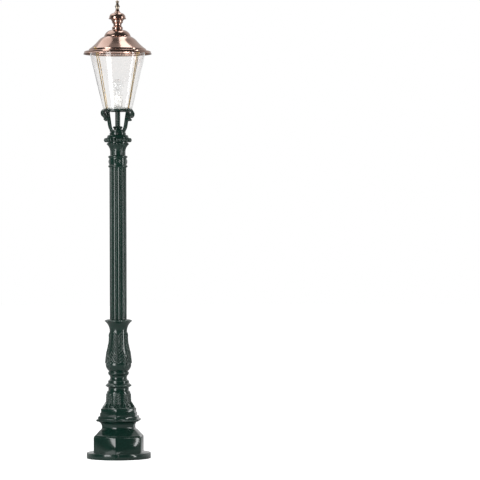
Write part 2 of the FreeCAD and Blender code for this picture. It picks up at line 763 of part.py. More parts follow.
def build_lantern_bracket():
    """Cast bracket: socket for the post, hub with leaf curls, four scroll arms and a ring."""
    groove = socket_radius - socket_groove
    socket = turned(to_axis([
        (socket_radius - 1.0, bracket_z, 0),
        (socket_radius, bracket_z + 2.0, 0),
        (socket_radius, bracket_z + 0.44 * socket_height, 0),
        (groove, bracket_z + 0.54 * socket_height, -0.2),
        (groove, bracket_z + 0.64 * socket_height, 0),
        (socket_radius, bracket_z + 0.74 * socket_height, -0.2),
        (socket_radius, bracket_z + 0.94 * socket_height, 0),
        (hub_radius + 4.0, bracket_z + socket_height, 0.1),
        (hub_radius, bracket_z + socket_height + 3.0, -0.3),
        (hub_radius, hub_top_z, 0),
    ]))
    curl_circle = hub_radius - 1.0
    curl = Part.makeCylinder(hub_curl_radius, 2 * hub_curl_radius,
                             Vector(curl_circle, -hub_curl_radius, hub_top_z + 1.0), Vector(0, 1, 0))
    ring = turned([
        (ring_inner_radius, ring_z, 0),
        (ring_outer_radius - ring_round, ring_z, 0),
        (ring_outer_radius, ring_z + ring_round, 0.4),
        (ring_outer_radius, ring_top_z - ring_round, 0),
        (ring_outer_radius - ring_round, ring_top_z, 0.4),
        (floor_radius, ring_top_z, 0),
        (floor_radius, floor_z, 0),
        (ring_inner_radius, floor_z, 0),
    ])
    arm = build_arm()
    arms = [arm.rotated(ORIGIN, AXIS, turn) for turn in arm_turns()]
    body = socket.fuse(polar(curl, hub_curl_count) + [ring] + arms)
    post_socket = Part.makeCylinder(capital_spigot_radius + slip_fit,
                                    capital_spigot_height + slip_fit, Vector(0, 0, bracket_z))
    nut_room = Part.makeCylinder(nut_across_flats, nut_height + 2.0,
                                 Vector(0, 0, nipple_nut_z() - 2.0))
    tube_seat = Part.makeCylinder(tube_radius + slip_fit, hub_height, Vector(0, 0, hub_top_z))
    nipple_hole = Part.makeCylinder(nipple_radius + slip_fit, hub_top_z - bracket_z,
                                    Vector(0, 0, bracket_z))
    screw_hole = Part.makeCylinder(set_screw_radius + slip_fit, socket_radius,
                                   Vector(0, 0, set_screw_z()), Vector(0, -1, 0))
    rod_hole = rod_between(rod_point(-rod_socket_depth), rod_point(20.0), rod_radius + slip_fit)
    cuts = [post_socket, nut_room, tube_seat, nipple_hole]
    cuts += polar(screw_hole, set_screw_count)
    cuts += [rod_hole.rotated(ORIGIN, AXIS, turn) for turn in arm_turns()]
    return body.cut(cuts)


def set_screw_z():
    """Height of the bracket's set screws, at the middle of the socket's lower ring."""
    return bracket_z + 0.24 * socket_height


def nipple_nut_z():
    """Underside of the nut that draws the nipple down against the hub."""
    return bracket_z + capital_spigot_height + slip_fit


def rod_point(along):
    """Point on a rod's axis, in the XZ plane, at a distance from the ring's top along the rod."""
    foot = Vector(rod_foot_radius, 0, ring_top_z)
    return foot + rod_direction() * along


def rod_direction():
    """Unit vector along a guard rod in the XZ plane."""
    return Vector(rod_top_radius - rod_foot_radius, 0, rod_height).normalize()


def build_set_screws():
    """Slotted screws that clamp the bracket on the capital's spigot."""
    shank_start = capital_spigot_radius + slip_fit / 2
    shank = Part.makeCylinder(set_screw_radius, socket_radius - shank_start,
                              Vector(0, -shank_start, set_screw_z()), Vector(0, -1, 0))
    head = Part.makeCylinder(set_screw_head_radius, set_screw_head_height,
                             Vector(0, -socket_radius, set_screw_z()), Vector(0, -1, 0))
    slot = Part.makeBox(2 * set_screw_head_radius, set_screw_head_height / 2, 1.2,
                        Vector(-set_screw_head_radius,
                               -socket_radius - set_screw_head_height, set_screw_z() - 0.6))
    return Part.makeCompound(polar(shank.fuse(head).cut(slot), set_screw_count))


def build_lantern_floor():
    """Disc that lies in the bracket's ring and carries the lampholder."""
    return turned([
        (nipple_radius + slip_fit, floor_z, 0),
        (floor_radius - slip_fit, floor_z, 0),
        (floor_radius - slip_fit, ring_top_z, 0),
        (nipple_radius + slip_fit, ring_top_z, 0),
    ])


def build_lamp_tube():
    """Plain tube between the hub and the lantern floor."""
    return turned([
        (tube_bore, hub_top_z, 0),
        (tube_radius, hub_top_z, 0),
        (tube_radius, floor_z, 0),
        (tube_bore, floor_z, 0),
    ])


def build_nipple():
    """Threaded tube that ties hub, lamp tube and floor together and leads the wires."""
    return turned([
        (nipple_bore, nipple_nut_z() - 1.0, 0),
        (nipple_radius, nipple_nut_z() - 1.0, 0),
        (nipple_radius, ring_top_z + nut_height + 2.0, 0),
        (nipple_bore, ring_top_z + nut_height + 2.0, 0),
    ])


def build_nipple_nuts():
    """Two hexagon nuts on the nipple: under the hub and on the lantern floor."""
    bore = Part.makeCylinder(nipple_radius + slip_fit / 2, nut_height)
    nut = hex_prism(nut_across_flats, nut_height).cut(bore)
    return Part.makeCompound([nut.translated(Vector(0, 0, nipple_nut_z())),
                              nut.translated(Vector(0, 0, ring_top_z))])


def build_lampholder_body():
    """Porcelain cup with room for the nut below and the thread sleeve above."""
    return turned([
        (holder_cavity_radius, ring_top_z, 0),
        (holder_foot_radius - 1.5, ring_top_z, 0),
        (holder_foot_radius, ring_top_z + 1.5, 0.4),
        (holder_top_radius, holder_top_z - 1.5, 0.03),
        (holder_top_radius - 1.5, holder_top_z, 0.4),
        (sleeve_radius + slip_fit, holder_top_z, 0),
        (sleeve_radius + slip_fit, sleeve_z, 0),
        (nipple_bore, sleeve_z, 0),
        (nipple_bore, ring_top_z + holder_foot_cavity, 0),
        (holder_cavity_radius, ring_top_z + holder_foot_cavity, 0),
    ])


def build_lampholder_ring():
    """Porcelain ring that is screwed on the cup and shrouds the bulb's cap."""
    top = holder_top_z + holder_ring_height
    opening = sleeve_radius + 4.0
    return turned([
        (sleeve_radius + slip_fit, holder_top_z, 0),
        (holder_ring_radius - 1.0, holder_top_z, 0),
        (holder_ring_radius, holder_top_z + 2.0, 0.4),
        (holder_ring_radius, top - 2.5, 0),
        (holder_ring_radius - 2.5, top, 0.4),
        (opening, top, 0),
        (opening, holder_top_z + 0.6 * holder_ring_height, 0),
        (sleeve_radius + slip_fit, holder_top_z + 0.55 * holder_ring_height, 0),
    ])


def build_lampholder_sleeve():
    """Brass sleeve that takes the bulb's thread."""
    return turned([
        (sleeve_radius - sleeve_wall, sleeve_z, 0),
        (sleeve_radius, sleeve_z, 0),
        (sleeve_radius, sleeve_z + sleeve_height, 0),
        (sleeve_radius - sleeve_wall, sleeve_z + sleeve_height, 0),
    ])


def build_lampholder_contact():
    """Centre contact on the cup's floor."""
    foot = bulb_z - contact_height
    return turned([
        (0, foot, 0),
        (6.0, foot, 0),
        (6.0, foot + 0.5 * contact_height, 0),
        (3.5, foot + contact_height, -0.2),
        (0, foot + contact_height, 0),
    ])


def build_bulb_cap():
    """Screw cap of the bulb, open at the top for the glass."""
    wall = bulb_cap_wall
    return turned([
        (0, bulb_z, 0),
        (4.5, bulb_z, 0),
        (5.5, bulb_z + 1.5, 0),
        (10.0, bulb_z + 4.0, 0),
        (bulb_cap_radius, bulb_z + 6.0, 0.2),
        (bulb_cap_radius, bulb_glass_z, 0),
        (bulb_cap_radius - wall, bulb_glass_z, 0),
        (bulb_cap_radius - wall, bulb_z + 6.5, 0),
        (0, bulb_z + 5.0, 0),
    ])


def build_bulb_glass():
    """Clear pear-shaped glass of the bulb."""
    centre_z = bulb_glass_z + bulb_glass_height - bulb_glass_radius
    join = math.radians(-35)
    join_r = bulb_glass_radius * math.cos(join)
    join_z = centre_z + bulb_glass_radius * math.sin(join)
    return spun([
        (bulb_cap_radius, bulb_glass_z, 0),
        (bulb_cap_radius + 0.2, bulb_glass_z + 4.0, 0),
        (join_r, join_z, -0.16),
        (bulb_glass_radius, centre_z, math.tan(-join / 4)),
        (0, centre_z + bulb_glass_radius, crown(bulb_glass_radius, bulb_glass_radius)),
    ], bulb_glass_wall)


def build_bulb_stem():
    """Glass stem inside the bulb, flared at its foot and drawn out to a button."""
    foot_radius = bulb_cap_radius - bulb_cap_wall - 0.4
    return turned([
        (0, bulb_glass_z - 2.0, 0),
        (foot_radius, bulb_glass_z - 2.0, 0),
        (stem_radius, bulb_glass_z + 10.0, -0.3),
        (stem_radius, bulb_glass_z + stem_height - 4.0, 0),
        (1.4, bulb_glass_z + stem_height, 0),
        (1.4, bulb_glass_z + button_height - 3.0, 0),
        (2.6, bulb_glass_z + button_height - 1.2, 0.3),
        (0, bulb_glass_z + button_height, crown(2.6, 1.2)),
    ])


def build_bulb_filament():
    """Lead wires, filament and its supports, as one bent wire frame."""
    root_z = bulb_glass_z + stem_height - 3.0
    end_z = bulb_glass_z + button_height + 4.0
    crest_z = end_z + 6.0
    half = filament_half_span
    run = [Vector(-stem_radius, 0, root_z), Vector(-half, 0, end_z), Vector(-half / 2, 0, crest_z),
           Vector(0, 0, end_z), Vector(half / 2, 0, crest_z), Vector(half, 0, end_z),
           Vector(stem_radius, 0, root_z)]
    wires = [rod_between(a, b, wire_radius) for a, b in zip(run, run[1:])]
    joints = [Part.makeSphere(wire_radius * 1.15, point) for point in run[1:-1]]
    prop = rod_between(Vector(0, 0, bulb_glass_z + button_height), Vector(0, 0, end_z), wire_radius)
    return wires[0].fuse(wires[1:] + joints + [prop])


def build_glass_seat():
    """Soft ring under the glass, with an inner lip that centres it."""
    lip_radius_outer = glass_foot_radius - glass_wall - 0.6
    return turned([
        (floor_radius + 1.0, ring_top_z, 0),
        (glass_foot_radius + 0.6, ring_top_z, 0),
        (glass_foot_radius + 0.6, glass_z, 0),
        (lip_radius_outer, glass_z, 0),
        (lip_radius_outer, glass_z + seat_lip, 0),
        (floor_radius + 1.0, glass_z + seat_lip, 0),
    ])


def build_glass_shade():
    """Clear glass cone, open at both ends."""
    wall = glass_wall * math.hypot(1, glass_slope)
    return turned([
        (glass_foot_radius - wall, glass_z, 0),
        (glass_foot_radius, glass_z, 0),
        (glass_top_radius, glass_z + glass_height, 0),
        (glass_top_radius - wall, glass_z + glass_height, 0.9),
    ])


def rod_length():
    """Length of a rod between the ring's top and the hood's flange."""
    return math.hypot(rod_height, rod_top_radius - rod_foot_radius)


def build_guard_rod(number):
    """Brass rod with a collar under the hood; some run on through it for a cap nut."""
    collar_end = rod_length() - copper_sheet - slip_fit
    rod = rod_between(rod_point(-rod_socket_depth), rod_point(collar_end), rod_radius)
    pieces = [rod_between(rod_point(collar_end - rod_collar_height), rod_point(collar_end),
                          rod_collar_radius)]
    if number in nutted_rods:
        pieces.append(rod_between(rod_point(collar_end), rod_point(rod_length() + rod_thread_length),
                                  rod_radius))
    return rod.fuse(pieces).rotated(ORIGIN, AXIS, arm_turns()[number - 1])


def build_rod_cap_nuts():
    """Domed nuts on the rods that pass through the hood's flange."""
    dome_radius = 0.46 * cap_nut_across_flats
    dome = turned([
        (0, cap_nut_base / 2, 0),
        (dome_radius, cap_nut_base / 2, 0),
        (dome_radius, cap_nut_height - dome_radius, 0),
        (0, cap_nut_height, crown(dome_radius, dome_radius)),
    ])
    hole = Part.makeCylinder(rod_radius + slip_fit / 2, rod_thread_length + 0.5)
    flats = hex_prism(cap_nut_across_flats, cap_nut_base).rotated(ORIGIN, AXIS, 30)
    nut = flats.fuse(dome).cut(hole)
    nut.Placement = Placement(rod_point(rod_length() + slip_fit), Rotation(AXIS, rod_direction()))
    return Part.makeCompound([nut.rotated(ORIGIN, AXIS, arm_turns()[number - 1])
                              for number in nutted_rods])


def build_hood():
    """Spun copper hood: turned lip, flange square to the rods, step, bell and vented top."""
    def on_flange(radius):
        return flange_z + (rod_top_radius - radius) * rod_slope

    step_head = step_z + bell_step_height
    shoulder_r = bell_crown_radius + 0.43 * (bell_step_radius - bell_crown_radius)
    shoulder_z = step_head + 0.61 * bell_rise
    sheet = spun([
        (lip_radius, flange_z - lip_drop, 0),
        (rim_radius, flange_z - 0.55 * lip_drop, -0.1),
        (rim_radius, flange_z - 0.35 * lip_drop, 0),
        (flange_outer_radius, on_flange(flange_outer_radius), 0.35),
        (bell_step_radius + 1.0, on_flange(bell_step_radius + 1.0), 0),
        (bell_step_radius, step_head, 0),
        (shoulder_r, shoulder_z, -0.06),
        (bell_crown_radius, hood_top_z, 0.14),
        (bell_vent_radius, hood_top_z, 0),
    ], copper_sheet)
    hole = rod_between(rod_point(rod_length() - 5.0), rod_point(rod_length() + 5.0),
                       rod_radius + 2 * slip_fit)
    return sheet.cut([hole.rotated(ORIGIN, AXIS, arm_turns()[number - 1])
                      for number in nutted_rods])


def build_hood_dome():
    """Small spun dome that stands on the top of the hood."""
    return spun([
        (bell_crown_radius, hood_top_z, 0),
        (bell_crown_radius, hood_top_z + 2.0, 0),
        (dome_top_radius, dome_top_z, 0.3),
        (stud_radius + 2 * slip_fit, dome_top_z, 0),
    ], copper_sheet)


def build_chimney():
    """Spun chimney with a beaded foot, a waist and a flared top."""
    z = dome_top_z
    return spun([
        (stud_radius + 2 * slip_fit, z, 0),
        (chimney_foot_radius, z, 0),
        (chimney_foot_radius - 1.5, z + 3.0, -0.2),
        (chimney_foot_radius - 1.5, z + 7.0, 0),
        (chimney_foot_radius - 1.5, z + 13.0, 0.35),
        (chimney_waist_radius, z + 16.0, 0),
        (chimney_waist_radius + 1.5, z + 35.0, -0.42),
        (chimney_ridge_radius, z + 37.0, 0),
        (chimney_ridge_radius, z + 40.0, 0),
        (chimney_top_radius, z + chimney_height - 1.0, -0.3),
        (chimney_top_radius, z + chimney_height, 0),
    ], copper_sheet)


def build_chimney_cap():
    """Onion-shaped cap with a turned-in lip that rests on the chimney."""
    z = chimney_top_z
    return spun([
        (chimney_top_radius - 6.0, z, 0),
        (cap_lip_radius - 1.0, z, 0),
        (cap_lip_radius, z + 1.0, 0.4),
        (cap_lip_radius, z + 3.5, 0),
        (cap_radius, z + 5.0, 0),
        (0.66 * cap_radius, z + 0.58 * cap_height, 0.33),
        (cap_neck_radius, z + cap_height, -0.36),
        (stud_radius + 2 * slip_fit, z + cap_height, 0),
    ], copper_sheet)


def build_finial():
    """Turned finial, tapped from below for the stud."""
    z = cap_top_z
    ball_z = z + finial_height - 0.62 * finial_ball_radius
    body = turned([
        (0, z, 0),
        (finial_waist_radius + 0.8, z, 0),
        (finial_waist_radius, z + 2.0, -0.3),
        (finial_max_radius, z + 0.33 * finial_height, -0.12),
        (finial_neck_radius, z + 0.7 * finial_height, -0.12),
        (finial_neck_radius - 0.8, ball_z - 0.7 * finial_ball_radius, 0),
        (finial_ball_radius, ball_z, 0.45),
        (0, z + finial_height, crown(finial_ball_radius, z + finial_height - ball_z)),
    ])
    return body.cut(Part.makeCylinder(stud_radius + slip_fit / 2, finial_thread, Vector(0, 0, z)))


def bridge_z():
    """Underside of the hood's top, against which the bridge lies."""
    return hood_top_z - copper_sheet


def build_hood_bridge():
    """Strap across the vent inside the hood, which the stud pulls up against it."""
    bar = Part.makeBox(bridge_length, bridge_width, bridge_thickness,
                       Vector(-bridge_length / 2, -bridge_width / 2, bridge_z() - bridge_thickness))
    hole = Part.makeCylinder(stud_radius + slip_fit, bridge_thickness,
                             Vector(0, 0, bridge_z() - bridge_thickness))
    return bar.cut(hole)


def build_hood_stud():
    """Threaded stud from the bridge through dome, chimney and cap into the finial."""
    foot = bridge_z() - bridge_thickness - stud_tail
    return Part.makeCylinder(stud_radius, cap_top_z + finial_thread - 0.5 - foot, Vector(0, 0, foot))


def build_hood_stud_nut():
    """Hexagon nut under the bridge."""
    height = 1.6 * stud_radius
    bore = Part.makeCylinder(stud_radius + slip_fit / 2, height)
    nut = hex_prism(stud_nut_across_flats, height).cut(bore)
    return nut.translated(Vector(0, 0, bridge_z() - bridge_thickness - height))


def main():
    """Write one file for each piece of the lamp."""
    fixed = {
        "foot": build_foot(),
        "baluster": build_baluster(),
        "baluster_bolts": build_baluster_bolts(),
    }
    turned_with_column = {
        "column": build_column(),
        "capital": build_capital(),
        "lantern_bracket": build_lantern_bracket(),
        "bracket_set_screws": build_set_screws(),
        "lantern_floor": build_lantern_floor(),
        "lamp_tube": build_lamp_tube(),
        "tie_nipple": build_nipple(),
        "nipple_nuts": build_nipple_nuts(),
        "lampholder_body": build_lampholder_body(),
        "lampholder_ring": build_lampholder_ring(),
        "lampholder_sleeve": build_lampholder_sleeve(),
        "lampholder_contact": build_lampholder_contact(),
        "bulb_cap": build_bulb_cap(),
        "bulb_glass": build_bulb_glass(),
        "bulb_stem": build_bulb_stem(),
        "bulb_filament": build_bulb_filament(),
        "glass_seat": build_glass_seat(),
        "glass_shade": build_glass_shade(),
        "rod_cap_nuts": build_rod_cap_nuts(),
        "hood": build_hood(),
        "hood_dome": build_hood_dome(),
        "chimney": build_chimney(),
        "chimney_cap": build_chimney_cap(),
        "finial": build_finial(),
        "hood_bridge": build_hood_bridge(),
        "hood_stud": build_hood_stud(),
        "hood_stud_nut": build_hood_stud_nut(),
    }
    for number in range(1, rod_count + 1):
        turned_with_column["guard_rod_%d" % number] = build_guard_rod(number)
    os.makedirs("parts", exist_ok=True)
    for name, shape in fixed.items():
        shape.exportStep("parts/%s.step" % name)
    for name, shape in turned_with_column.items():
        shape.rotated(ORIGIN, AXIS, upper_turn).exportStep("parts/%s.step" % name)


main()
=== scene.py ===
"""Garden lamp: dresses the solid model of a cast post with a copper-hooded lantern."""

import json
import logging
import math
from dataclasses import dataclass
from enum import Enum

import bpy
from mathutils import Matrix, Quaternion, Vector

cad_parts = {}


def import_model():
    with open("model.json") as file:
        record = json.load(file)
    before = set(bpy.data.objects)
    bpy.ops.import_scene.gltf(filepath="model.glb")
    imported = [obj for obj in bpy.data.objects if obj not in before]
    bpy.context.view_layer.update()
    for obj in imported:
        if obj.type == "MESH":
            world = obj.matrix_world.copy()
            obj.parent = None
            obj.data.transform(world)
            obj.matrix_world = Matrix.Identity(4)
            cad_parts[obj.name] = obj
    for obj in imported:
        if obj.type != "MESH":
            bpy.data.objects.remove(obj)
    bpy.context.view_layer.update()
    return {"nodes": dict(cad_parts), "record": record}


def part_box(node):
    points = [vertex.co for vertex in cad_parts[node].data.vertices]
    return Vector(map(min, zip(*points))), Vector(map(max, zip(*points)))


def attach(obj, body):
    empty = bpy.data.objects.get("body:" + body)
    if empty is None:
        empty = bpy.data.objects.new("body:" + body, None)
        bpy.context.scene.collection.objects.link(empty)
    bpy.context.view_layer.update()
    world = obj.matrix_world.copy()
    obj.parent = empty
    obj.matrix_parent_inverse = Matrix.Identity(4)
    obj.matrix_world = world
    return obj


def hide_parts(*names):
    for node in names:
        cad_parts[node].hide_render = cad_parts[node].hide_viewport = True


LOG = logging.getLogger("garden_lamp")

MM = 0.001
WELD = 0.00002
ORIGIN = (0.0, 0.0, 0.0)
ROUND_EDGE = 0.4
# Colour attribute that measures crests and hollows; the paint turns its crests into a painted highlight.
CREST_HIGHLIGHT_MASK = "relief"
Pair = tuple[float, float]
Colour = tuple[float, float, float]
Step = tuple[float, float, float]
Socket = bpy.types.NodeSocket


class Coat(Enum):
    """How a metal piece is finished."""

    PAINT = "paint"
    SPUN = "spun"
    BARE = "bare"


class Weaver:
    """Adds and links shader nodes in one node tree."""

    MIX_MASK = 0
    MIX_UNDER = 6
    MIX_OVER = 7
    MIX_RESULT = 2

    def __init__(self, tree: bpy.types.NodeTree) -> None:
        """Takes the tree that the nodes go into."""
        self.tree = tree

    def add(self, kind: str, **values: object) -> bpy.types.Node:
        """Adds a node and sets its properties and inputs.

        Args:
            kind: Node type name without its ShaderNode prefix.
            values: Property values by name, and input values by name after "in_".

        Returns:
            The new node.
        """
        node = self.tree.nodes.new("ShaderNode" + kind)
        for key, value in values.items():
            if key.startswith("in_"):
                node.inputs[key.removeprefix("in_").replace("_", " ")].default_value = value
            else:
                setattr(node, key, value)
        return node

    def link(self, source: Socket, target: Socket) -> None:
        """Joins an output socket to an input socket."""
        self.tree.links.new(source, target)

    def maths(self, operation: str, first: float | Socket, second: float | Socket = 0.0) -> Socket:
        """Adds a maths node.

        Args:
            operation: Blender's name of the operation.
            first: Socket or number for the first input.
            second: Socket or number for the second input.

        Returns:
            The node's output socket.
        """
        node = self.add("Math", operation=operation)
        for socket, value in zip(node.inputs, (first, second)):
            if isinstance(value, (int, float)):
                socket.default_value = value
            else:
                self.link(value, socket)
        return node.outputs[0]

    def ramp(self, source: Socket, low: float, high: float) -> Socket:
        """Stretches a range of a value to run from 0 to 1.

        Args:
            source: Socket with the value.
            low: Value that becomes 0.
            high: Value that becomes 1.

        Returns:
            Socket with the stretched value.
        """
        node = self.add("MapRange", clamp=True, in_From_Min=low, in_From_Max=high)
        self.link(source, node.inputs["Value"])
        return node.outputs["Result"]

    def spread(self, source: Socket, low: float, high: float) -> Socket:
        """Stretches a value that runs from 0 to 1 over another range.

        Args:
            source: Socket with the value.
            low: What 0 becomes.
            high: What 1 becomes.

        Returns:
            Socket with the stretched value.
        """
        node = self.add("MapRange", in_To_Min=low, in_To_Max=high)
        self.link(source, node.inputs["Value"])
        return node.outputs["Result"]

    def split(self, vector: Socket) -> list[Socket]:
        """Parts a vector into its x, y and z sockets."""
        node = self.add("SeparateXYZ")
        self.link(vector, node.inputs[0])
        return list(node.outputs)

    def bump(self, height: Socket, strength: float) -> Socket:
        """Turns a height into a normal.

        Args:
            height: Socket with the height.
            strength: How strongly it shows.

        Returns:
            Socket with the normal.
        """
        node = self.add("Bump", in_Strength=strength, in_Distance=MM)
        self.link(height, node.inputs["Height"])
        return node.outputs["Normal"]

    def noise(self, vector: Socket, scale: float, detail: float) -> Socket:
        """Adds a noise texture.

        Args:
            vector: Socket with the coordinates.
            scale: Cells to a metre.
            detail: Octaves of finer noise.

        Returns:
            Socket with the noise value.
        """
        node = self.add("TexNoise", in_Scale=scale, in_Detail=detail)
        self.link(vector, node.inputs["Vector"])
        return node.outputs["Fac"]

    def blend(self, mask: Socket, first: Colour | Socket, second: Colour) -> Socket:
        """Mixes two colours by a mask.

        Args:
            mask: Socket that is 0 for the first colour and 1 for the second.
            first: Colour under the mask, or a socket with it.
            second: Colour over the mask.

        Returns:
            Socket with the mixed colour.
        """
        node = self.add("Mix", data_type="RGBA")
        if isinstance(first, tuple):
            node.inputs[self.MIX_UNDER].default_value = (*first, 1.0)
        else:
            self.link(first, node.inputs[self.MIX_UNDER])
        node.inputs[self.MIX_OVER].default_value = (*second, 1.0)
        self.link(mask, node.inputs[self.MIX_MASK])
        return node.outputs[self.MIX_RESULT]


def new_material(name: str) -> tuple[bpy.types.Material, Weaver, bpy.types.Node]:
    """Starts a material.

    Args:
        name: Name of the material.

    Returns:
        The material, a weaver for its nodes and its Principled shader.
    """
    material = bpy.data.materials.new(name)
    material.use_nodes = True
    return material, Weaver(material.node_tree), material.node_tree.nodes["Principled BSDF"]


class SurfaceGroups:
    """Shader node groups that several finishes share."""

    STREAK_SCALE = 130.0
    DUSTY_LEVEL = 0.16
    DUSTY_SLOPE = 0.6
    GROUND_DUST = 0.5

    def __init__(self) -> None:
        """Builds each group once."""
        self.spun_marks = self.build_spun_marks()
        self.weathering = self.build_weathering()

    @staticmethod
    def new_group(
        name: str, inputs: dict[str, float], outputs: list[str]
    ) -> tuple[bpy.types.NodeTree, Weaver]:
        """Starts a group with number sockets.

        Args:
            name: Name of the group.
            inputs: Default value of each input.
            outputs: Names of the outputs.

        Returns:
            The group and a weaver for it.
        """
        tree = bpy.data.node_groups.new(name, "ShaderNodeTree")
        for key, value in inputs.items():
            socket = tree.interface.new_socket(key, in_out="INPUT", socket_type="NodeSocketFloat")
            socket.default_value = value
        for key in outputs:
            tree.interface.new_socket(key, in_out="OUTPUT", socket_type="NodeSocketFloat")
        return tree, Weaver(tree)

    def build_spun_marks(self) -> bpy.types.NodeTree:
        """Builds rings about the post's axis, as spinning leaves them in sheet metal."""
        tree, weave = self.new_group("Spun marks", {"Pitch": 900.0}, ["Height", "Streak"])
        given = tree.nodes.new("NodeGroupInput")
        result = tree.nodes.new("NodeGroupOutput")
        place = weave.add("TexCoord")
        x, y, z = weave.split(place.outputs["Object"])
        radius = weave.maths("SQRT", weave.maths("ADD", weave.maths("MULTIPLY", x, x),
                                                 weave.maths("MULTIPLY", y, y)))
        join = weave.add("CombineXYZ")
        weave.link(radius, join.inputs[0])
        weave.link(z, join.inputs[1])
        rings = weave.add("TexNoise", in_Detail=4.0, in_Roughness=0.7)
        weave.link(join.outputs[0], rings.inputs["Vector"])
        weave.link(given.outputs["Pitch"], rings.inputs["Scale"])
        streak = weave.noise(join.outputs[0], self.STREAK_SCALE, 2.0)
        weave.link(rings.outputs["Fac"], result.inputs["Height"])
        weave.link(weave.ramp(streak, 0.3, 0.7), result.inputs["Streak"])
        return tree

    def build_weathering(self) -> bpy.types.NodeTree:
        """Builds patches, a fine peel and dust that gathers near the ground and on ledges."""
        tree, weave = self.new_group(
            "Weathering", {"Patch": 9.0, "Peel": 420.0}, ["Patches", "Height", "Dust"])
        given = tree.nodes.new("NodeGroupInput")
        result = tree.nodes.new("NodeGroupOutput")
        place = weave.add("TexCoord")
        patches = weave.add("TexNoise", in_Detail=5.0, in_Roughness=0.6)
        peel = weave.add("TexNoise", in_Detail=2.0)
        for node, key in ((patches, "Patch"), (peel, "Peel")):
            weave.link(place.outputs["Object"], node.inputs["Vector"])
            weave.link(given.outputs[key], node.inputs["Scale"])
        level = weave.split(place.outputs["Object"])[2]
        low = weave.maths("MULTIPLY", weave.ramp(level, self.DUSTY_LEVEL, 0.0), self.GROUND_DUST)
        shape = weave.add("NewGeometry")
        upward = weave.split(shape.outputs["Normal"])[2]
        settled = weave.maths("MAXIMUM", low, weave.ramp(upward, self.DUSTY_SLOPE, 1.0))
        specks = weave.ramp(patches.outputs["Fac"], 0.35, 0.75)
        dust = weave.maths("MULTIPLY", specks, settled)
        weave.link(weave.ramp(patches.outputs["Fac"], 0.3, 0.7), result.inputs["Patches"])
        weave.link(peel.outputs["Fac"], result.inputs["Height"])
        weave.link(dust, result.inputs["Dust"])
        return tree


@dataclass(frozen=True)
class MetalFinish:
    """A metal surface: colour, its darker patches, a painted highlight on carved crests, gloss and how it was
    worked.
    """

    name: str
    coat: Coat
    colour: Colour
    patch_colour: Colour
    roughness: float
    patch_roughness: float
    dust_colour: Colour = (0.030, 0.055, 0.045)
    dust: float = 0.0
    # Lighter green painted on crests as a painted highlight, and the span of the crest measure over which it
    # comes in.
    crest_highlight_colour: Colour = (0.15, 0.19, 0.175)
    crest_highlight_range: Pair = (0.515, 0.555)
    paint_specular: float = 0.5
    lacquer: float = 0.6
    lacquer_roughness: float = 0.06
    bump: float = 0.02
    patch_scale: float = 9.0

    def build(self, groups: SurfaceGroups) -> bpy.types.Material:
        """Makes the material.

        Args:
            groups: Shared node groups.

        Returns:
            The new material.
        """
        material, weave, shader = new_material(self.name)
        weather = weave.add("Group", node_tree=groups.weathering, in_Patch=self.patch_scale)
        colour = weave.blend(weather.outputs["Patches"], self.colour, self.patch_colour)
        height = weather.outputs["Height"]
        mask = weather.outputs["Patches"]
        if self.coat is Coat.SPUN:
            marks = weave.add("Group", node_tree=groups.spun_marks)
            height = marks.outputs["Height"]
            mask = weave.maths("MULTIPLY", weave.maths("ADD", mask, marks.outputs["Streak"]), 0.5)
        if self.coat is Coat.PAINT:
            relief = weave.add("Attribute", attribute_name=CREST_HIGHLIGHT_MASK)
            # Painted highlight: crests of the carving are painted a lighter green to stand for the light they
            # catch.
            crest_highlights = weave.ramp(relief.outputs["Fac"], *self.crest_highlight_range)
            colour = weave.blend(crest_highlights, colour, self.crest_highlight_colour)
        if self.dust:
            dusty = weave.maths("MULTIPLY", weather.outputs["Dust"], self.dust)
            colour = weave.blend(dusty, colour, self.dust_colour)
        gloss = weave.spread(mask, self.roughness, self.patch_roughness)
        weave.link(colour, shader.inputs["Base Color"])
        weave.link(gloss, shader.inputs["Roughness"])
        weave.link(weave.bump(height, self.bump), shader.inputs["Normal"])
        shader.inputs["Metallic"].default_value = 0.0 if self.coat is Coat.PAINT else 1.0
        if self.coat is Coat.PAINT:
            shader.inputs["Specular IOR Level"].default_value = self.paint_specular
            shader.inputs["Coat Weight"].default_value = self.lacquer
            shader.inputs["Coat Roughness"].default_value = self.lacquer_roughness
        return material


@dataclass(frozen=True)
class GlassFinish:
    """A clear glass that lets light pass to what stands behind it."""

    name: str
    colour: Colour
    smear: float = 0.015
    refraction: float = 1.45

    def build(self, groups: SurfaceGroups) -> bpy.types.Material:
        """Makes the material.

        Args:
            groups: Shared node groups.

        Returns:
            The new material.
        """
        material, weave, shader = new_material(self.name)
        weather = weave.add("Group", node_tree=groups.weathering)
        gloss = weave.spread(weather.outputs["Patches"], 0.0, self.smear)
        weave.link(gloss, shader.inputs["Roughness"])
        shader.inputs["Base Color"].default_value = (*self.colour, 1.0)
        shader.inputs["Transmission Weight"].default_value = 1.0
        shader.inputs["IOR"].default_value = self.refraction
        clear = weave.add("BsdfTransparent", in_Color=(*self.colour, 1.0))
        path = weave.add("LightPath")
        mix = weave.add("MixShader")
        weave.link(path.outputs["Is Shadow Ray"], mix.inputs[0])
        weave.link(shader.outputs[0], mix.inputs[1])
        weave.link(clear.outputs[0], mix.inputs[2])
        weave.link(mix.outputs[0], material.node_tree.nodes["Material Output"].inputs["Surface"])
        return material


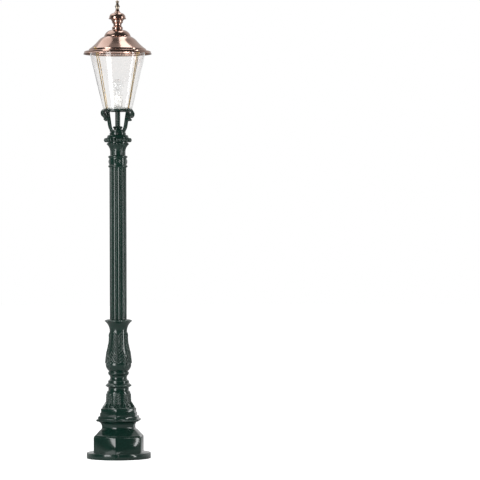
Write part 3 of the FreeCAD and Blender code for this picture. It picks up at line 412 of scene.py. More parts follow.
@dataclass(frozen=True)
class GlazeFinish:
    """A pale fired or moulded surface with a slight unevenness."""

    name: str
    colour: Colour
    patch_colour: Colour
    roughness: float
    clarity: float = 0.0
    patch_scale: float = 40.0
    bump: float = 0.01

    def build(self, groups: SurfaceGroups) -> bpy.types.Material:
        """Makes the material.

        Args:
            groups: Shared node groups.

        Returns:
            The new material.
        """
        material, weave, shader = new_material(self.name)
        weather = weave.add("Group", node_tree=groups.weathering, in_Patch=self.patch_scale)
        colour = weave.blend(weather.outputs["Patches"], self.colour, self.patch_colour)
        weave.link(colour, shader.inputs["Base Color"])
        weave.link(weave.bump(weather.outputs["Height"], self.bump), shader.inputs["Normal"])
        shader.inputs["Roughness"].default_value = self.roughness
        shader.inputs["Transmission Weight"].default_value = self.clarity
        return material


class Palette:
    """Every material of the lamp, by the record's slot names."""

    FINISHES = (
        MetalFinish("green_paint", Coat.PAINT, (0.0060, 0.0300, 0.0215), (0.0045, 0.0230, 0.0165),
                    roughness=0.16, patch_roughness=0.22, dust=0.12, bump=0.015),
        MetalFinish("copper", Coat.SPUN, (0.60, 0.42, 0.35), (0.52, 0.345, 0.285),
                    roughness=0.12, patch_roughness=0.19, bump=0.015),
        MetalFinish("brass", Coat.BARE, (0.90, 0.64, 0.25), (0.80, 0.54, 0.19),
                    roughness=0.20, patch_roughness=0.30, patch_scale=30.0),
        MetalFinish("finial_bronze", Coat.BARE, (0.55, 0.47, 0.38), (0.42, 0.35, 0.27),
                    roughness=0.18, patch_roughness=0.30, patch_scale=40.0),
        MetalFinish("steel", Coat.BARE, (0.22, 0.24, 0.23), (0.16, 0.18, 0.17),
                    roughness=0.30, patch_roughness=0.42, patch_scale=60.0),
        MetalFinish("bulb_cap", Coat.BARE, (0.75, 0.75, 0.76), (0.66, 0.66, 0.67),
                    roughness=0.20, patch_roughness=0.30, patch_scale=60.0),
        MetalFinish("filament", Coat.BARE, (0.30, 0.30, 0.31), (0.22, 0.22, 0.23),
                    roughness=0.35, patch_roughness=0.50, patch_scale=80.0),
        GlassFinish("clear_glass", (0.945, 0.940, 0.935)),
        GlassFinish("bulb_glass", (0.98, 0.985, 0.985)),
        GlazeFinish("porcelain", (0.86, 0.86, 0.84), (0.82, 0.82, 0.80), roughness=0.15),
        GlazeFinish("seat_rubber", (0.62, 0.64, 0.62), (0.55, 0.57, 0.55), roughness=0.40, clarity=0.35),
    )

    def __init__(self, groups: SurfaceGroups) -> None:
        """Builds all the materials."""
        self.materials = {finish.name: finish.build(groups) for finish in self.FINISHES}

    def dress(self, piece: bpy.types.Object, slot: str) -> None:
        """Gives a piece one material in place of what it has.

        Args:
            piece: Object to dress.
            slot: Name of the material slot.
        """
        piece.data.materials.clear()
        piece.data.materials.append(self.materials[slot])


@dataclass(frozen=True)
class Outline:
    """A profile of (radius, height, bulge) steps in millimetres; each bulge shapes the edge to its step."""

    steps: tuple[Step, ...]
    arc_step: float = 0.14
    least_parts: int = 3

    def points(self) -> list[Pair]:
        """Follows the steps, with arcs divided finely.

        Returns:
            Radius and height of each point, in metres.
        """
        found = [(self.steps[0][0] * MM, self.steps[0][1] * MM)]
        for (r0, z0, _), (r1, z1, bulge) in zip(self.steps, self.steps[1:]):
            if bulge:
                found.extend(self.arc((r0 * MM, z0 * MM), (r1 * MM, z1 * MM), bulge))
            found.append((r1 * MM, z1 * MM))
        return found

    def arc(self, start: Pair, end: Pair, bulge: float) -> list[Pair]:
        """Divides an arc.

        Args:
            start: First end.
            end: Other end.
            bulge: Rise over half the chord, positive to the right of the way.

        Returns:
            The points between the ends.
        """
        sweep = 4.0 * math.atan(bulge)
        run, rise = end[0] - start[0], end[1] - start[1]
        reach = 0.5 / math.tan(sweep / 2.0)
        centre = ((start[0] + end[0]) / 2 - rise * reach, (start[1] + end[1]) / 2 + run * reach)
        count = max(self.least_parts, math.ceil(abs(sweep) / self.arc_step))
        found = []
        for i in range(1, count):
            turn = sweep * i / count
            x, y = start[0] - centre[0], start[1] - centre[1]
            found.append((centre[0] + x * math.cos(turn) - y * math.sin(turn),
                          centre[1] + x * math.sin(turn) + y * math.cos(turn)))
        return found


@dataclass(frozen=True)
class Lathe:
    """Turns profiles about the post's axis into meshes."""

    segments: int = 128
    pole: float = 1e-5
    pole_weld: float = 3e-5
    mitre_limit: float = 0.5
    crease: float = 32.0

    def closed(self, name: str, outline: Outline) -> bpy.types.Object:
        """Turns a solid piece from a profile that runs round its whole section.

        Args:
            name: Name of the piece.
            outline: Profile, from the axis or back to its own start.

        Returns:
            The new piece.
        """
        points = outline.points()
        if points[0][0] > 0.0:
            points.append(points[0])
        return self.turn(name, points)

    def sheet(self, name: str, outline: Outline, wall: float) -> bpy.types.Object:
        """Turns a thin wall whose outer side follows a profile.

        Args:
            name: Name of the piece.
            outline: Profile of the outer side, with the inside on the left of its way.
            wall: Thickness of the wall in millimetres.

        Returns:
            The new piece.
        """
        outer = outline.points()
        inner = []
        for i, (radius, height) in enumerate(outer):
            here = Vector((radius, height))
            near = [Vector(point) for point in outer[max(i - 1, 0):i + 2]]
            ways = [(after - before).normalized() for before, after in zip(near, near[1:])]
            way = sum(ways, Vector((0.0, 0.0))).normalized()
            offset = Vector((-way.y, way.x)) * (wall * MM / max(way.dot(ways[0]), self.mitre_limit))
            inner.append((max((here + offset).x, 0.0), (here + offset).y))
        return self.turn(name, outer + list(reversed(inner)) + [outer[0]])

    def turn(self, name: str, points: list[Pair]) -> bpy.types.Object:
        """Extrudes a ring along a profile.

        Args:
            name: Name of the piece.
            points: Radius and height of each ring, in metres.

        Returns:
            The new piece.
        """
        rings = [(max(radius, self.pole), height) for radius, height in points]
        bpy.ops.object.select_all(action="DESELECT")
        bpy.ops.mesh.primitive_circle_add(vertices=self.segments, radius=rings[0][0])
        piece = bpy.context.object
        piece.name = name
        bpy.ops.object.mode_set(mode="EDIT")
        bpy.ops.mesh.select_all(action="SELECT")
        bpy.ops.transform.translate(value=(0.0, 0.0, rings[0][1]))
        for (r0, z0), (r1, z1) in zip(rings, rings[1:]):
            bpy.ops.mesh.extrude_region_move(TRANSFORM_OT_translate={"value": (0.0, 0.0, z1 - z0)})
            bpy.ops.transform.resize(value=(r1 / r0, r1 / r0, 1.0), center_override=(0.0, 0.0, z1))
        bpy.ops.mesh.select_all(action="SELECT")
        bpy.ops.mesh.remove_doubles(threshold=self.pole_weld)
        bpy.ops.mesh.normals_make_consistent(inside=False)
        bpy.ops.object.mode_set(mode="OBJECT")
        bpy.ops.object.shade_smooth_by_angle(angle=math.radians(self.crease))
        return piece


@dataclass(frozen=True)
class Extent:
    """Where a node of the solid model stands, in millimetres."""

    foot: float
    head: float
    radius: float

    @classmethod
    def of(cls, node: str) -> "Extent":
        """Reads a node's box.

        Args:
            node: Name of the node.

        Returns:
            Its lowest and highest level and its reach from the axis.
        """
        low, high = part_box(node)
        return cls(low[2] / MM, high[2] / MM, (high[0] - low[0]) / 2 / MM)

    def at(self, share: float) -> float:
        """Level at a share of the height."""
        return self.foot + share * (self.head - self.foot)


class Maker:
    """Hands finished pieces to the frame and gives them their finish."""

    def __init__(self, palette: Palette) -> None:
        """Takes the palette that dresses the pieces."""
        self.palette = palette

    def hand_over(self, piece: bpy.types.Object, node: str, slot: str) -> None:
        """Dresses a piece and lets it stand for a node of the solid model.

        Args:
            piece: The finished piece.
            node: Name of the node that it stands for.
            slot: Name of its material slot.
        """
        self.palette.dress(piece, slot)
        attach(piece, "root")
        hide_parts(node)
        LOG.info("made %s with %d faces", piece.name, len(piece.data.polygons))


@dataclass(frozen=True)
class CopperHood:
    """Spun copper hood with its dome, chimney and cap, and the turned finial, in millimetres."""

    wall: float = 1.2
    lip_drop: float = 16.0
    lip_flare: float = 4.0
    lip_shares: Pair = (0.55, 0.35)
    rim_round: float = 7.0
    flange_width: float = 16.1
    flange_slope: float = 0.245
    rod_inset: float = 22.5
    step_height: float = 6.3
    step_lean: float = 1.0
    bell_shares: Pair = (0.43, 0.61)
    vent_radius: float = 44.0
    stud_hole: float = 4.4
    dome_crown: float = 30.0
    dome_skirt: float = 2.0
    chimney_foot: float = 28.0
    chimney_bead: float = 26.5
    chimney_waist: float = 23.5
    chimney_flare: float = 25.0
    chimney_ridge: float = 27.5
    bead_levels: tuple[float, float, float] = (3.0, 7.0, 13.0)
    waist_levels: Pair = (16.0, 35.0)
    ridge_levels: Pair = (37.0, 40.0)
    cap_seat: float = 6.0
    cap_lip: float = 2.8
    cap_roll: float = 1.0
    cap_levels: Pair = (3.5, 5.0)
    cap_shares: Pair = (0.66, 0.58)
    cap_neck: float = 9.0
    finial_waist: float = 8.5
    finial_belly: float = 13.2
    finial_neck: float = 5.8
    finial_ball: float = 8.9
    finial_edge: float = 0.8
    finial_shares: tuple[float, float, float, float] = (0.31, 0.33, 0.36, 0.7)

    def build(self, maker: Maker, lathe: Lathe) -> None:
        """Makes the five pieces.

        Args:
            maker: Hands the pieces over.
            lathe: Turns the profiles.
        """
        self.build_hood(maker, lathe)
        self.build_dome(maker, lathe)
        self.build_chimney(maker, lathe)
        self.build_cap(maker, lathe)
        self.build_finial(maker, lathe)

    def build_hood(self, maker: Maker, lathe: Lathe) -> None:
        """Makes the hood: flared lip, rounded rim, flange, step and ogee bell."""
        at = Extent.of("hood")
        crown = Extent.of("hood_dome").radius
        rim = at.radius - self.lip_flare
        flange = rim - self.rim_round
        step_foot = flange - self.flange_width
        step = step_foot - self.step_lean
        rod = at.radius - self.rod_inset
        level = at.foot + self.lip_drop

        def on_flange(radius: float) -> float:
            return level + (rod - radius) * self.flange_slope

        lip_low, lip_high = (level - share * self.lip_drop for share in self.lip_shares)
        step_head = on_flange(step) + self.step_height
        bell_out, bell_up = self.bell_shares
        sheet = Outline((
            (at.radius, at.foot, 0.0),
            (rim, lip_low, -0.1),
            (rim, lip_high, 0.0),
            (flange, on_flange(flange), 0.35),
            (step_foot, on_flange(step_foot), 0.0),
            (step, step_head, 0.0),
            (crown + bell_out * (step - crown), step_head + bell_up * (at.head - step_head), -0.06),
            (crown, at.head, 0.14),
            (self.vent_radius, at.head, 0.0),
        ))
        maker.hand_over(lathe.sheet("copper_hood", sheet, self.wall), "hood", "copper")

    def build_dome(self, maker: Maker, lathe: Lathe) -> None:
        """Makes the small dome on the hood."""
        at = Extent.of("hood_dome")
        sheet = Outline((
            (at.radius, at.foot, 0.0),
            (at.radius, at.foot + self.dome_skirt, 0.0),
            (self.dome_crown, at.head, 0.3),
            (self.stud_hole, at.head, 0.0),
        ))
        maker.hand_over(lathe.sheet("copper_dome", sheet, self.wall), "hood_dome", "copper")

    def build_chimney(self, maker: Maker, lathe: Lathe) -> None:
        """Makes the chimney: beaded foot, waist, ridge and flared top."""
        at = Extent.of("chimney")
        cove, bead_foot, bead_head = self.bead_levels
        waist_foot, waist_head = self.waist_levels
        ridge_foot, ridge_head = self.ridge_levels
        sheet = Outline((
            (self.stud_hole, at.foot, 0.0),
            (self.chimney_foot, at.foot, 0.0),
            (self.chimney_bead, at.foot + cove, -0.2),
            (self.chimney_bead, at.foot + bead_foot, 0.0),
            (self.chimney_bead, at.foot + bead_head, 0.35),
            (self.chimney_waist, at.foot + waist_foot, 0.0),
            (self.chimney_flare, at.foot + waist_head, -0.42),
            (self.chimney_ridge, at.foot + ridge_foot, 0.0),
            (self.chimney_ridge, at.foot + ridge_head, 0.0),
            (at.radius, at.head - 1.0, -0.3),
            (at.radius, at.head, 0.0),
        ))
        maker.hand_over(lathe.sheet("copper_chimney", sheet, self.wall), "chimney", "copper")

    def build_cap(self, maker: Maker, lathe: Lathe) -> None:
        """Makes the onion-shaped cap with its rolled lip."""
        at = Extent.of("chimney_cap")
        inner = Extent.of("chimney").radius - self.cap_seat
        body = at.radius - self.cap_lip
        lip_head, body_foot = self.cap_levels
        waist_out, waist_up = self.cap_shares
        sheet = Outline((
            (inner, at.foot, 0.0),
            (at.radius - self.cap_roll, at.foot, 0.0),
            (at.radius, at.foot + self.cap_roll, ROUND_EDGE),
            (at.radius, at.foot + lip_head, 0.0),
            (body, at.foot + body_foot, 0.0),
            (waist_out * body, at.at(waist_up), 0.33),
            (self.cap_neck, at.head, -0.36),
            (self.stud_hole, at.head, 0.0),
        ))
        maker.hand_over(lathe.sheet("copper_cap", sheet, self.wall), "chimney_cap", "copper")

    def build_finial(self, maker: Maker, lathe: Lathe) -> None:
        """Makes the turned finial."""
        at = Extent.of("finial")
        ball = at.head - 0.62 * self.finial_ball
        belly_foot, belly, belly_head, neck = (at.at(share) for share in self.finial_shares)
        solid = Outline((
            (0.0, at.foot, 0.0),
            (self.finial_waist + self.finial_edge, at.foot, 0.0),
            (self.finial_waist, at.foot + 2.0, -0.3),
            (self.finial_belly - 1.0, belly_foot, -0.12),
            (self.finial_belly, belly, 0.3),
            (self.finial_belly - 1.0, belly_head, 0.3),
            (self.finial_neck, neck, -0.12),
            (self.finial_neck - self.finial_edge, ball - 0.7 * self.finial_ball, 0.0),
            (self.finial_ball, ball, 0.45),
            (0.0, at.head, 0.3),
        ))
        maker.hand_over(lathe.closed("turned_finial", solid), "finial", "finial_bronze")


@dataclass(frozen=True)
class Glazing:
    """Glass cone on its seat, the lampholder and the bulb, in millimetres."""

    glass_wall: float = 3.0
    edge_round: float = 0.9
    rim_hem: float = 4.0
    rim_crown: float = 1.3
    seat_ledge: float = 0.6
    holder_bore: float = 14.9
    holder_edge: float = 1.5
    holder_foot: float = 22.0
    ring_opening: float = 18.7
    ring_shares: Pair = (0.6, 0.55)
    cap_radius: float = 13.3
    thread_turns: int = 5
    thread_depth: float = 0.9
    thread_foot: float = 6.0
    thread_head: float = 2.0
    contact: tuple[Pair, ...] = ((4.5, 0.0), (5.5, 1.5), (10.0, 4.0))
    bulb_wall: float = 0.8
    bulb_neck: float = 4.0
    bulb_flare: float = 0.2
    pear_join: float = 35.0

    def build(self, maker: Maker, lathe: Lathe) -> None:
        """Makes the cone, the holder and the bulb.

        Args:
            maker: Hands the pieces over.
            lathe: Turns the profiles.
        """
        self.build_cone(maker, lathe)
        self.build_holder(maker, lathe)
        self.build_bulb(maker, lathe)

    def build_cone(self, maker: Maker, lathe: Lathe) -> None:
        """Makes the glass cone with its fire-polished rim."""
        at = Extent.of("glass_shade")
        foot = Extent.of("glass_seat").radius - self.seat_ledge
        wall = self.glass_wall
        head = at.head - self.rim_crown
        hem = self.rim_hem * (at.radius - foot) / (head - at.foot)
        outline = Outline((
            (foot - wall, at.foot, 0.0),
            (foot, at.foot, 0.0),
            (foot + hem, at.foot + self.rim_hem, 0.0),
            (at.radius - hem, head - self.rim_hem, 0.0),
            (at.radius, head, 0.0),
            (at.radius - wall, head, self.edge_round),
            (at.radius - wall - hem, head - self.rim_hem, 0.0),
            (foot - wall + hem, at.foot + self.rim_hem, 0.0),
        ))
        maker.hand_over(lathe.closed("glass_cone", outline), "glass_shade", "clear_glass")

    def build_holder(self, maker: Maker, lathe: Lathe) -> None:
        """Makes the porcelain cup and the ring screwed on it."""
        cup = Extent.of("lampholder_body")
        edge = self.holder_edge
        body = Outline((
            (self.holder_bore, cup.foot, 0.0),
            (self.holder_foot - edge, cup.foot, 0.0),
            (self.holder_foot, cup.foot + edge, ROUND_EDGE),
            (cup.radius, cup.head - edge, 0.03),
            (cup.radius - edge, cup.head, ROUND_EDGE),
            (self.holder_bore, cup.head, 0.0),
        ))
        maker.hand_over(lathe.closed("porcelain_cup", body), "lampholder_body", "porcelain")
        ring = Extent.of("lampholder_ring")
        ledge, bore_head = (ring.at(share) for share in self.ring_shares)
        shroud = Outline((
            (self.holder_bore, ring.foot, 0.0),
            (ring.radius - edge, ring.foot, 0.0),
            (ring.radius, ring.foot + edge, ROUND_EDGE),
            (ring.radius, ring.head - 2.0 * edge, 0.0),
            (ring.radius - 2.0 * edge, ring.head, ROUND_EDGE),
            (self.ring_opening, ring.head, 0.0),
            (self.ring_opening, ledge, 0.0),
            (self.holder_bore, bore_head, 0.0),
        ))
        maker.hand_over(lathe.closed("porcelain_ring", shroud), "lampholder_ring", "porcelain")

    def build_bulb(self, maker: Maker, lathe: Lathe) -> None:
        """Makes the bulb's pear-shaped glass and its threaded cap."""
        glass = Extent.of("bulb_glass")
        centre = glass.head - glass.radius
        join = math.radians(self.pear_join)
        pear = Outline((
            (self.cap_radius, glass.foot, 0.0),
            (self.cap_radius + self.bulb_flare, glass.foot + self.bulb_neck, 0.0),
            (glass.radius * math.cos(join), centre - glass.radius * math.sin(join), -0.16),
            (glass.radius, centre, math.tan(join / 4)),
            (0.0, glass.head, math.tan(math.pi / 8)),
        ))
        maker.hand_over(lathe.sheet("bulb_pear", pear, self.bulb_wall), "bulb_glass", "bulb_glass")
        cap = Extent.of("bulb_cap")
        root = cap.radius - self.thread_depth
        pitch = (cap.head - cap.foot - self.thread_foot - self.thread_head) / self.thread_turns
        steps = [(0.0, cap.foot, 0.0)]
        steps += [(radius, cap.foot + rise, 0.0) for radius, rise in self.contact]
        for turn in range(self.thread_turns):
            level = cap.foot + self.thread_foot + pitch * turn
            steps.append((root, level, 0.0))
            steps.append((root, level + pitch, 0.45))
        steps += [(cap.radius - 0.4, cap.head, 0.0), (0.0, cap.head, 0.0)]
        maker.hand_over(lathe.closed("threaded_cap", Outline(tuple(steps))), "bulb_cap", "bulb_cap")


def repeat_around(count: int) -> list[bpy.types.Object]:
    """Repeats the active piece about the post's axis.

    Args:
        count: Number of pieces in the whole ring.

    Returns:
        The pieces, from the one that was active.
    """
    pieces = [bpy.context.object]
    for _ in range(1, count):
        bpy.ops.object.duplicate()
        bpy.ops.object.mode_set(mode="EDIT")
        bpy.ops.mesh.select_all(action="SELECT")
        bpy.ops.transform.rotate(value=math.tau / count, orient_axis="Z", center_override=ORIGIN)
        bpy.ops.object.mode_set(mode="OBJECT")
        pieces.append(bpy.context.object)
    return pieces


@dataclass(frozen=True)
class BeadRow:
    """Round beads set about a casting, which the mould runs into one piece with it, in millimetres."""

    count: int
    reach: float
    below_head: float
    radius: float
    height: float

    def build(self, head: float, turn: float) -> list[bpy.types.Object]:
        """Makes the beads.

        Args:
            head: Level of the casting's top in millimetres.
            turn: Degrees that the casting is turned.

        Returns:
            The beads, each an object of its own.
        """
        bpy.ops.object.select_all(action="DESELECT")
        bpy.ops.mesh.primitive_uv_sphere_add(segments=24, ring_count=16, radius=self.radius * MM)
        bpy.ops.object.mode_set(mode="EDIT")
        bpy.ops.mesh.select_all(action="SELECT")
        bpy.ops.transform.resize(value=(1.0, 1.0, self.height / (2.0 * self.radius)))
        bpy.ops.transform.translate(value=(self.reach * MM, 0.0, (head - self.below_head) * MM))
        bpy.ops.transform.rotate(value=-math.radians(turn), orient_axis="Z", center_override=ORIGIN)
        bpy.ops.object.mode_set(mode="OBJECT")
        bpy.ops.object.transform_apply()
        return repeat_around(self.count)


@dataclass(frozen=True)
class LeafSpray:
    """Feathered leaves laid on a casting, with fingers that spring from both sides of a midrib.

    Levels, rise and width are in millimetres, turns in degrees. Pairs run from the foot to the tip.
    """

    count: int
    start: float
    fingers: int
    levels: Pair
    rise: float
    root_turns: Pair
    tip_turns: Pair
    width: float
    proud: float = 0.3
    stretch: float = 0.56

    @staticmethod
    def skin(solid: bpy.types.Object, turn: float, level: float) -> Vector:
        """Finds the casting's skin.

        Args:
            solid: Object of the node in the solid model.
            turn: Degrees to the right of the front.
            level: Millimetres above the ground.

        Returns:
            The place on the skin.
        """
        angle = math.radians(turn)
        way = Vector((math.sin(angle), -math.cos(angle), 0.0))
        return solid.ray_cast(way + Vector((0.0, 0.0, level * MM)), -way)[1]

    def add_finger(self, root: Vector, tip: Vector) -> None:
        """Adds one finger of a leaf between two places on the skin.

        Args:
            root: Where it springs from the midrib.
            tip: Where it ends.
        """
        along = tip - root
        middle = (root + tip) / 2.0
        across = Vector((middle.x, middle.y, 0.0)).cross(along).normalized()
        out = along.cross(across).normalized()
        turn = Matrix((across, out, along.normalized())).transposed().to_euler()
        half = self.width / 2.0
        bpy.ops.mesh.primitive_uv_sphere_add(
            segments=14, ring_count=10, radius=MM, location=middle + out * (self.proud * half * MM),
            rotation=turn, scale=(half, half, self.stretch * along.length / MM))

    def build(self, solid: bpy.types.Object) -> list[bpy.types.Object]:
        """Makes the leaves.

        Args:
            solid: Object of the node in the solid model.

        Returns:
            The leaves, each an object of its own.
        """
        bpy.ops.object.select_all(action="DESELECT")
        for step in range(2 * self.fingers):
            share = (step // 2) / (self.fingers - 1)
            side = 1.0 if step % 2 else -1.0
            level, root_turn, tip_turn = (
                first + share * (last - first)
                for first, last in (self.levels, self.root_turns, self.tip_turns))
            root = self.skin(solid, self.start + side * root_turn, level)
            tip = self.skin(solid, self.start + side * tip_turn, level + self.rise)
            self.add_finger(root, tip)
            if step == 0:
                bpy.ops.object.transform_apply()
                bpy.ops.object.mode_set(mode="EDIT")
        bpy.ops.object.mode_set(mode="OBJECT")
        return repeat_around(self.count)


class Grain(Enum):
    """How a casting's copy is finished: with its true facets, or flowing like a sand casting."""

    TURNED = "turned"
    FLOWING = "flowing"


@dataclass(frozen=True)
class Casting:
    """A cast or turned piece that follows a node of the solid model closely."""

    node: str
    slot: str
    grain: Grain = Grain.TURNED
    voxel: float = 1.0
    soften: int = 2
    most_faces: int = 180000
    crease: float = 28.0
    turn: float = 0.0
    bead_rows: tuple[BeadRow, ...] = ()
    sprays: tuple[LeafSpray, ...] = ()

    def build(self, maker: Maker, solid: bpy.types.Object) -> None:
        """Makes the piece.

        Args:
            maker: Hands the piece over.
            solid: Object of the node in the solid model.
        """
        piece = bpy.data.objects.new("cast_" + self.node, solid.data.copy())
        bpy.context.scene.collection.objects.link(piece)
        head = Extent.of(self.node).head
        carving = [bead for row in self.bead_rows for bead in row.build(head, self.turn)]
        carving += [leaf for spray in self.sprays for leaf in spray.build(solid)]
        bpy.ops.object.select_all(action="DESELECT")
        for part in carving + [piece]:
            part.select_set(True)
        bpy.context.view_layer.objects.active = piece
        if carving:
            bpy.ops.object.join()
        bpy.ops.object.mode_set(mode="EDIT")
        bpy.ops.mesh.select_all(action="SELECT")
        bpy.ops.mesh.remove_doubles(threshold=WELD)
        bpy.ops.mesh.normals_make_consistent(inside=False)
        bpy.ops.object.mode_set(mode="OBJECT")
        if self.grain is Grain.FLOWING:
            self.flow(piece)
        # Only the leaf sprays get a painted highlight on their crests.
        if self.sprays:
            self.mark_crests_for_highlight()
        bpy.ops.object.shade_smooth_by_angle(angle=math.radians(self.crease))
        maker.hand_over(piece, self.node, self.slot)

    @staticmethod
    def mark_crests_for_highlight() -> None:
        """Marks crests and hollows of the active piece in a colour attribute, which the paint reads to paint
        a highlight on the crests.
        """
        bpy.ops.geometry.color_attribute_add(
            name=CREST_HIGHLIGHT_MASK, domain="CORNER", data_type="FLOAT_COLOR", color=(1.0, 1.0, 1.0, 1.0))
        bpy.ops.object.mode_set(mode="VERTEX_PAINT")
        # The dirt operator measures crests and hollows here; the paint uses it only for a painted highlight
        # on crests.
        bpy.ops.paint.vertex_color_dirt(blur_strength=1.0, blur_iterations=1, normalize=False)
        bpy.ops.object.mode_set(mode="OBJECT")

    def flow(self, piece: bpy.types.Object) -> None:
        """Rounds the facets of the carving as a sand mould does.

        Args:
            piece: The active object.
        """
        remesh = piece.modifiers.new("skin", "REMESH")
        remesh.mode = "VOXEL"
        remesh.voxel_size = self.voxel * MM
        bpy.ops.object.modifier_apply(modifier="skin")
        smooth = piece.modifiers.new("soften", "SMOOTH")
        smooth.factor = 0.5
        smooth.iterations = self.soften
        bpy.ops.object.modifier_apply(modifier="soften")
        triangles = 2 * len(piece.data.polygons)
        if triangles > self.most_faces:
            thin = piece.modifiers.new("thin", "DECIMATE")
            thin.ratio = self.most_faces / triangles
            bpy.ops.object.modifier_apply(modifier="thin")


class CastPost:
    """The cast post and bracket, from the foot up."""

    PIECES = (
        Casting("foot", "green_paint"),
        Casting("baluster", "green_paint", Grain.FLOWING, soften=1, sprays=(
            LeafSpray(count=4, start=0.0, fingers=9, levels=(478.0, 606.0), rise=24.0,
                      root_turns=(12.0, 5.0), tip_turns=(35.0, 27.0), width=7.6),
            LeafSpray(count=4, start=45.0, fingers=4, levels=(446.0, 490.0), rise=18.0,
                      root_turns=(4.0, 4.0), tip_turns=(13.0, 11.0), width=6.4),
            LeafSpray(count=8, start=0.0, fingers=4, levels=(272.0, 308.0), rise=14.0,
                      root_turns=(3.0, 3.0), tip_turns=(15.0, 13.0), width=5.0),
        )),
        Casting("column", "green_paint", crease=24.0),
        Casting("capital", "green_paint", Grain.FLOWING, voxel=0.9, turn=4.2, bead_rows=(
            BeadRow(count=24, reach=62.0, below_head=40.0, radius=7.8, height=21.0),
            BeadRow(count=24, reach=50.8, below_head=59.5, radius=4.6, height=9.2),
        )),
        Casting("lantern_bracket", "green_paint", Grain.FLOWING, voxel=0.8),
        Casting("lamp_tube", "green_paint"),
        Casting("lantern_floor", "green_paint"),
        Casting("rod_cap_nuts", "brass"),
        *(Casting(f"guard_rod_{number}", "brass") for number in range(1, 5)),
    )

    def build(self, maker: Maker, nodes: dict[str, bpy.types.Object]) -> None:
        """Makes every piece.

        Args:
            maker: Hands the pieces over.
            nodes: Objects of the solid model by name.
        """
        for piece in self.PIECES:
            piece.build(maker, nodes[piece.node])


@dataclass(frozen=True)
class SoftBox:
    """A soft light, with its turn in degrees from the camera's side, lengths in metres and power in watts."""

    name: str
    turn: float
    distance: float
    height: float
    wide: float
    tall: float
    power: float
    overhead: bool = False


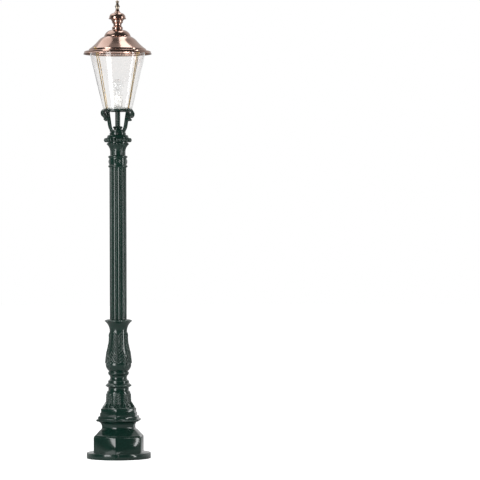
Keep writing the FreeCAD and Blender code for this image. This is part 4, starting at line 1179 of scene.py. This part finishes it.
@dataclass(frozen=True)
class Studio:
    """Floor, backdrop light, lamps and the camera, in metres and degrees."""

    SOFT_BOXES = (
        SoftBox("left_box", turn=-40.0, distance=3.0, height=1.6, wide=1.2, tall=3.2, power=66.0),
        SoftBox("right_box", turn=70.0, distance=3.0, height=1.5, wide=0.4, tall=3.0, power=30.0),
        SoftBox("top_right_box", turn=140.0, distance=0.78, height=4.1, wide=0.62, tall=1.5, power=7.0,
                overhead=True),
        SoftBox("top_left_box", turn=-118.0, distance=1.7, height=4.1, wide=1.9, tall=3.0, power=16.0,
                overhead=True),
    )

    camera_turn: float = 6.5
    camera_distance: float = 13.0
    camera_height: float = 1.087
    camera_roll: float = -0.18
    camera_aim: float = 0.6095
    lens: float = 195.0
    floor_size: float = 60.0
    floor_colour: Colour = (0.85, 0.85, 0.85)
    floor_mirrored: Colour = (0.35, 0.35, 0.35)
    floor_glow: float = 0.8
    mirrored_glow: float = 0.1
    soft_light: float = 0.35
    room_light: float = 0.05
    back_light: float = 0.6
    back_range: Pair = (-0.1, 0.7)

    def build(self) -> None:
        """Makes the whole studio."""
        self.build_camera()
        self.build_floor()
        self.build_world()
        self.build_lamps()

    @staticmethod
    def sight(turn: float, distance: float, height: float) -> Vector:
        """Place at a turn about the post, as seen from above, measured from the front.

        Args:
            turn: Degrees to the right of the front.
            distance: Metres from the post's axis.
            height: Metres above the ground.

        Returns:
            The place.
        """
        angle = math.radians(turn)
        return Vector((math.sin(angle) * distance, -math.cos(angle) * distance, height))

    def build_camera(self) -> None:
        """Makes the camera, level but for a slight roll, which looks past the post's right side."""
        data = bpy.data.cameras.new("studio_camera")
        data.lens = self.lens
        data.sensor_width = 36.0
        data.clip_end = 200.0
        camera = bpy.data.objects.new("studio_camera", data)
        bpy.context.scene.collection.objects.link(camera)
        place = self.sight(self.camera_turn, self.camera_distance, self.camera_height)
        angle = math.radians(self.camera_turn)
        aim = Vector((math.cos(angle), math.sin(angle), 0.0)) * self.camera_aim
        aim.z = self.camera_height
        camera.location = place
        level = (aim - place).to_track_quat("-Z", "Y")
        roll = Quaternion((0.0, 0.0, 1.0), math.radians(self.camera_roll))
        camera.rotation_euler = (level @ roll).to_euler()
        bpy.context.scene.camera = camera

    def build_floor(self) -> None:
        """Makes a pale floor that stays white to the camera and keeps the lamp's shadow."""
        bpy.ops.object.select_all(action="DESELECT")
        bpy.ops.mesh.primitive_grid_add(x_subdivisions=8, y_subdivisions=8, size=self.floor_size)
        floor = bpy.context.object
        floor.name = "studio_floor"
        material, weave, shader = new_material("studio_floor")
        shader.inputs["Roughness"].default_value = 0.9
        shader.inputs["Specular IOR Level"].default_value = 0.1
        path = weave.add("LightPath")
        straight = weave.maths("MAXIMUM", path.outputs["Is Camera Ray"], path.outputs["Is Transmission Ray"])
        seen = weave.maths("MAXIMUM", straight, path.outputs["Is Glossy Ray"])
        glow = weave.spread(straight, self.mirrored_glow, self.floor_glow)
        weave.link(weave.maths("MULTIPLY", seen, glow), shader.inputs["Emission Strength"])
        tone = weave.blend(path.outputs["Is Glossy Ray"], self.floor_colour, self.floor_mirrored)
        weave.link(tone, shader.inputs["Base Color"])
        shader.inputs["Emission Color"].default_value = (1.0, 1.0, 1.0, 1.0)
        floor.data.materials.append(material)

    def build_world(self) -> None:
        """Makes the white backdrop, with a soft grey light on the lamp itself."""
        world = bpy.data.worlds.new("studio_world")
        world.use_nodes = True
        bpy.context.scene.world = world
        weave = Weaver(world.node_tree)
        back = world.node_tree.nodes["Background"]
        back.inputs["Color"].default_value = (1.0, 1.0, 1.0, 1.0)
        path = weave.add("LightPath")
        way = weave.add("TexCoord")
        behind = weave.ramp(weave.split(way.outputs["Generated"])[1], *self.back_range)
        room = weave.spread(behind, self.room_light, self.back_light)
        mirrored = weave.maths("MULTIPLY", path.outputs["Is Glossy Ray"],
                               weave.maths("SUBTRACT", room, self.soft_light))
        plain = weave.maths("ADD", mirrored, self.soft_light)
        seen = weave.maths("MAXIMUM", path.outputs["Is Camera Ray"], path.outputs["Is Transmission Ray"])
        weave.link(weave.maths("MAXIMUM", seen, plain), back.inputs["Strength"])

    def build_lamps(self) -> None:
        """Hangs the soft boxes at both sides and above."""
        for box in self.SOFT_BOXES:
            data = bpy.data.lights.new(box.name, "AREA")
            data.shape = "RECTANGLE"
            data.size = box.wide
            data.size_y = box.tall
            data.energy = box.power
            lamp = bpy.data.objects.new(box.name, data)
            bpy.context.scene.collection.objects.link(lamp)
            lamp.location = self.sight(box.turn + self.camera_turn, box.distance, box.height)
            if box.overhead:
                lamp.rotation_euler = (0.0, 0.0, math.radians(self.camera_turn))
            else:
                level = Vector((0.0, 0.0, box.height))
                lamp.rotation_euler = (level - lamp.location).to_track_quat("-Z", "Y").to_euler()


def main() -> None:
    """Builds the lamp's dress and the studio."""
    logging.basicConfig(level=logging.INFO, format="%(name)s: %(message)s")
    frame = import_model()
    bpy.context.scene.view_settings.view_transform = "Standard"
    palette = Palette(SurfaceGroups())
    for entry in frame["record"]["subparts"]:
        palette.dress(frame["nodes"][entry["node"]], entry["material_slot"])
        LOG.info("dressed %s", entry["node"])
    maker = Maker(palette)
    lathe = Lathe()
    CastPost().build(maker, frame["nodes"])
    CopperHood().build(maker, lathe)
    Glazing().build(maker, lathe)
    Studio().build()


if __name__ == "__main__":
    main()
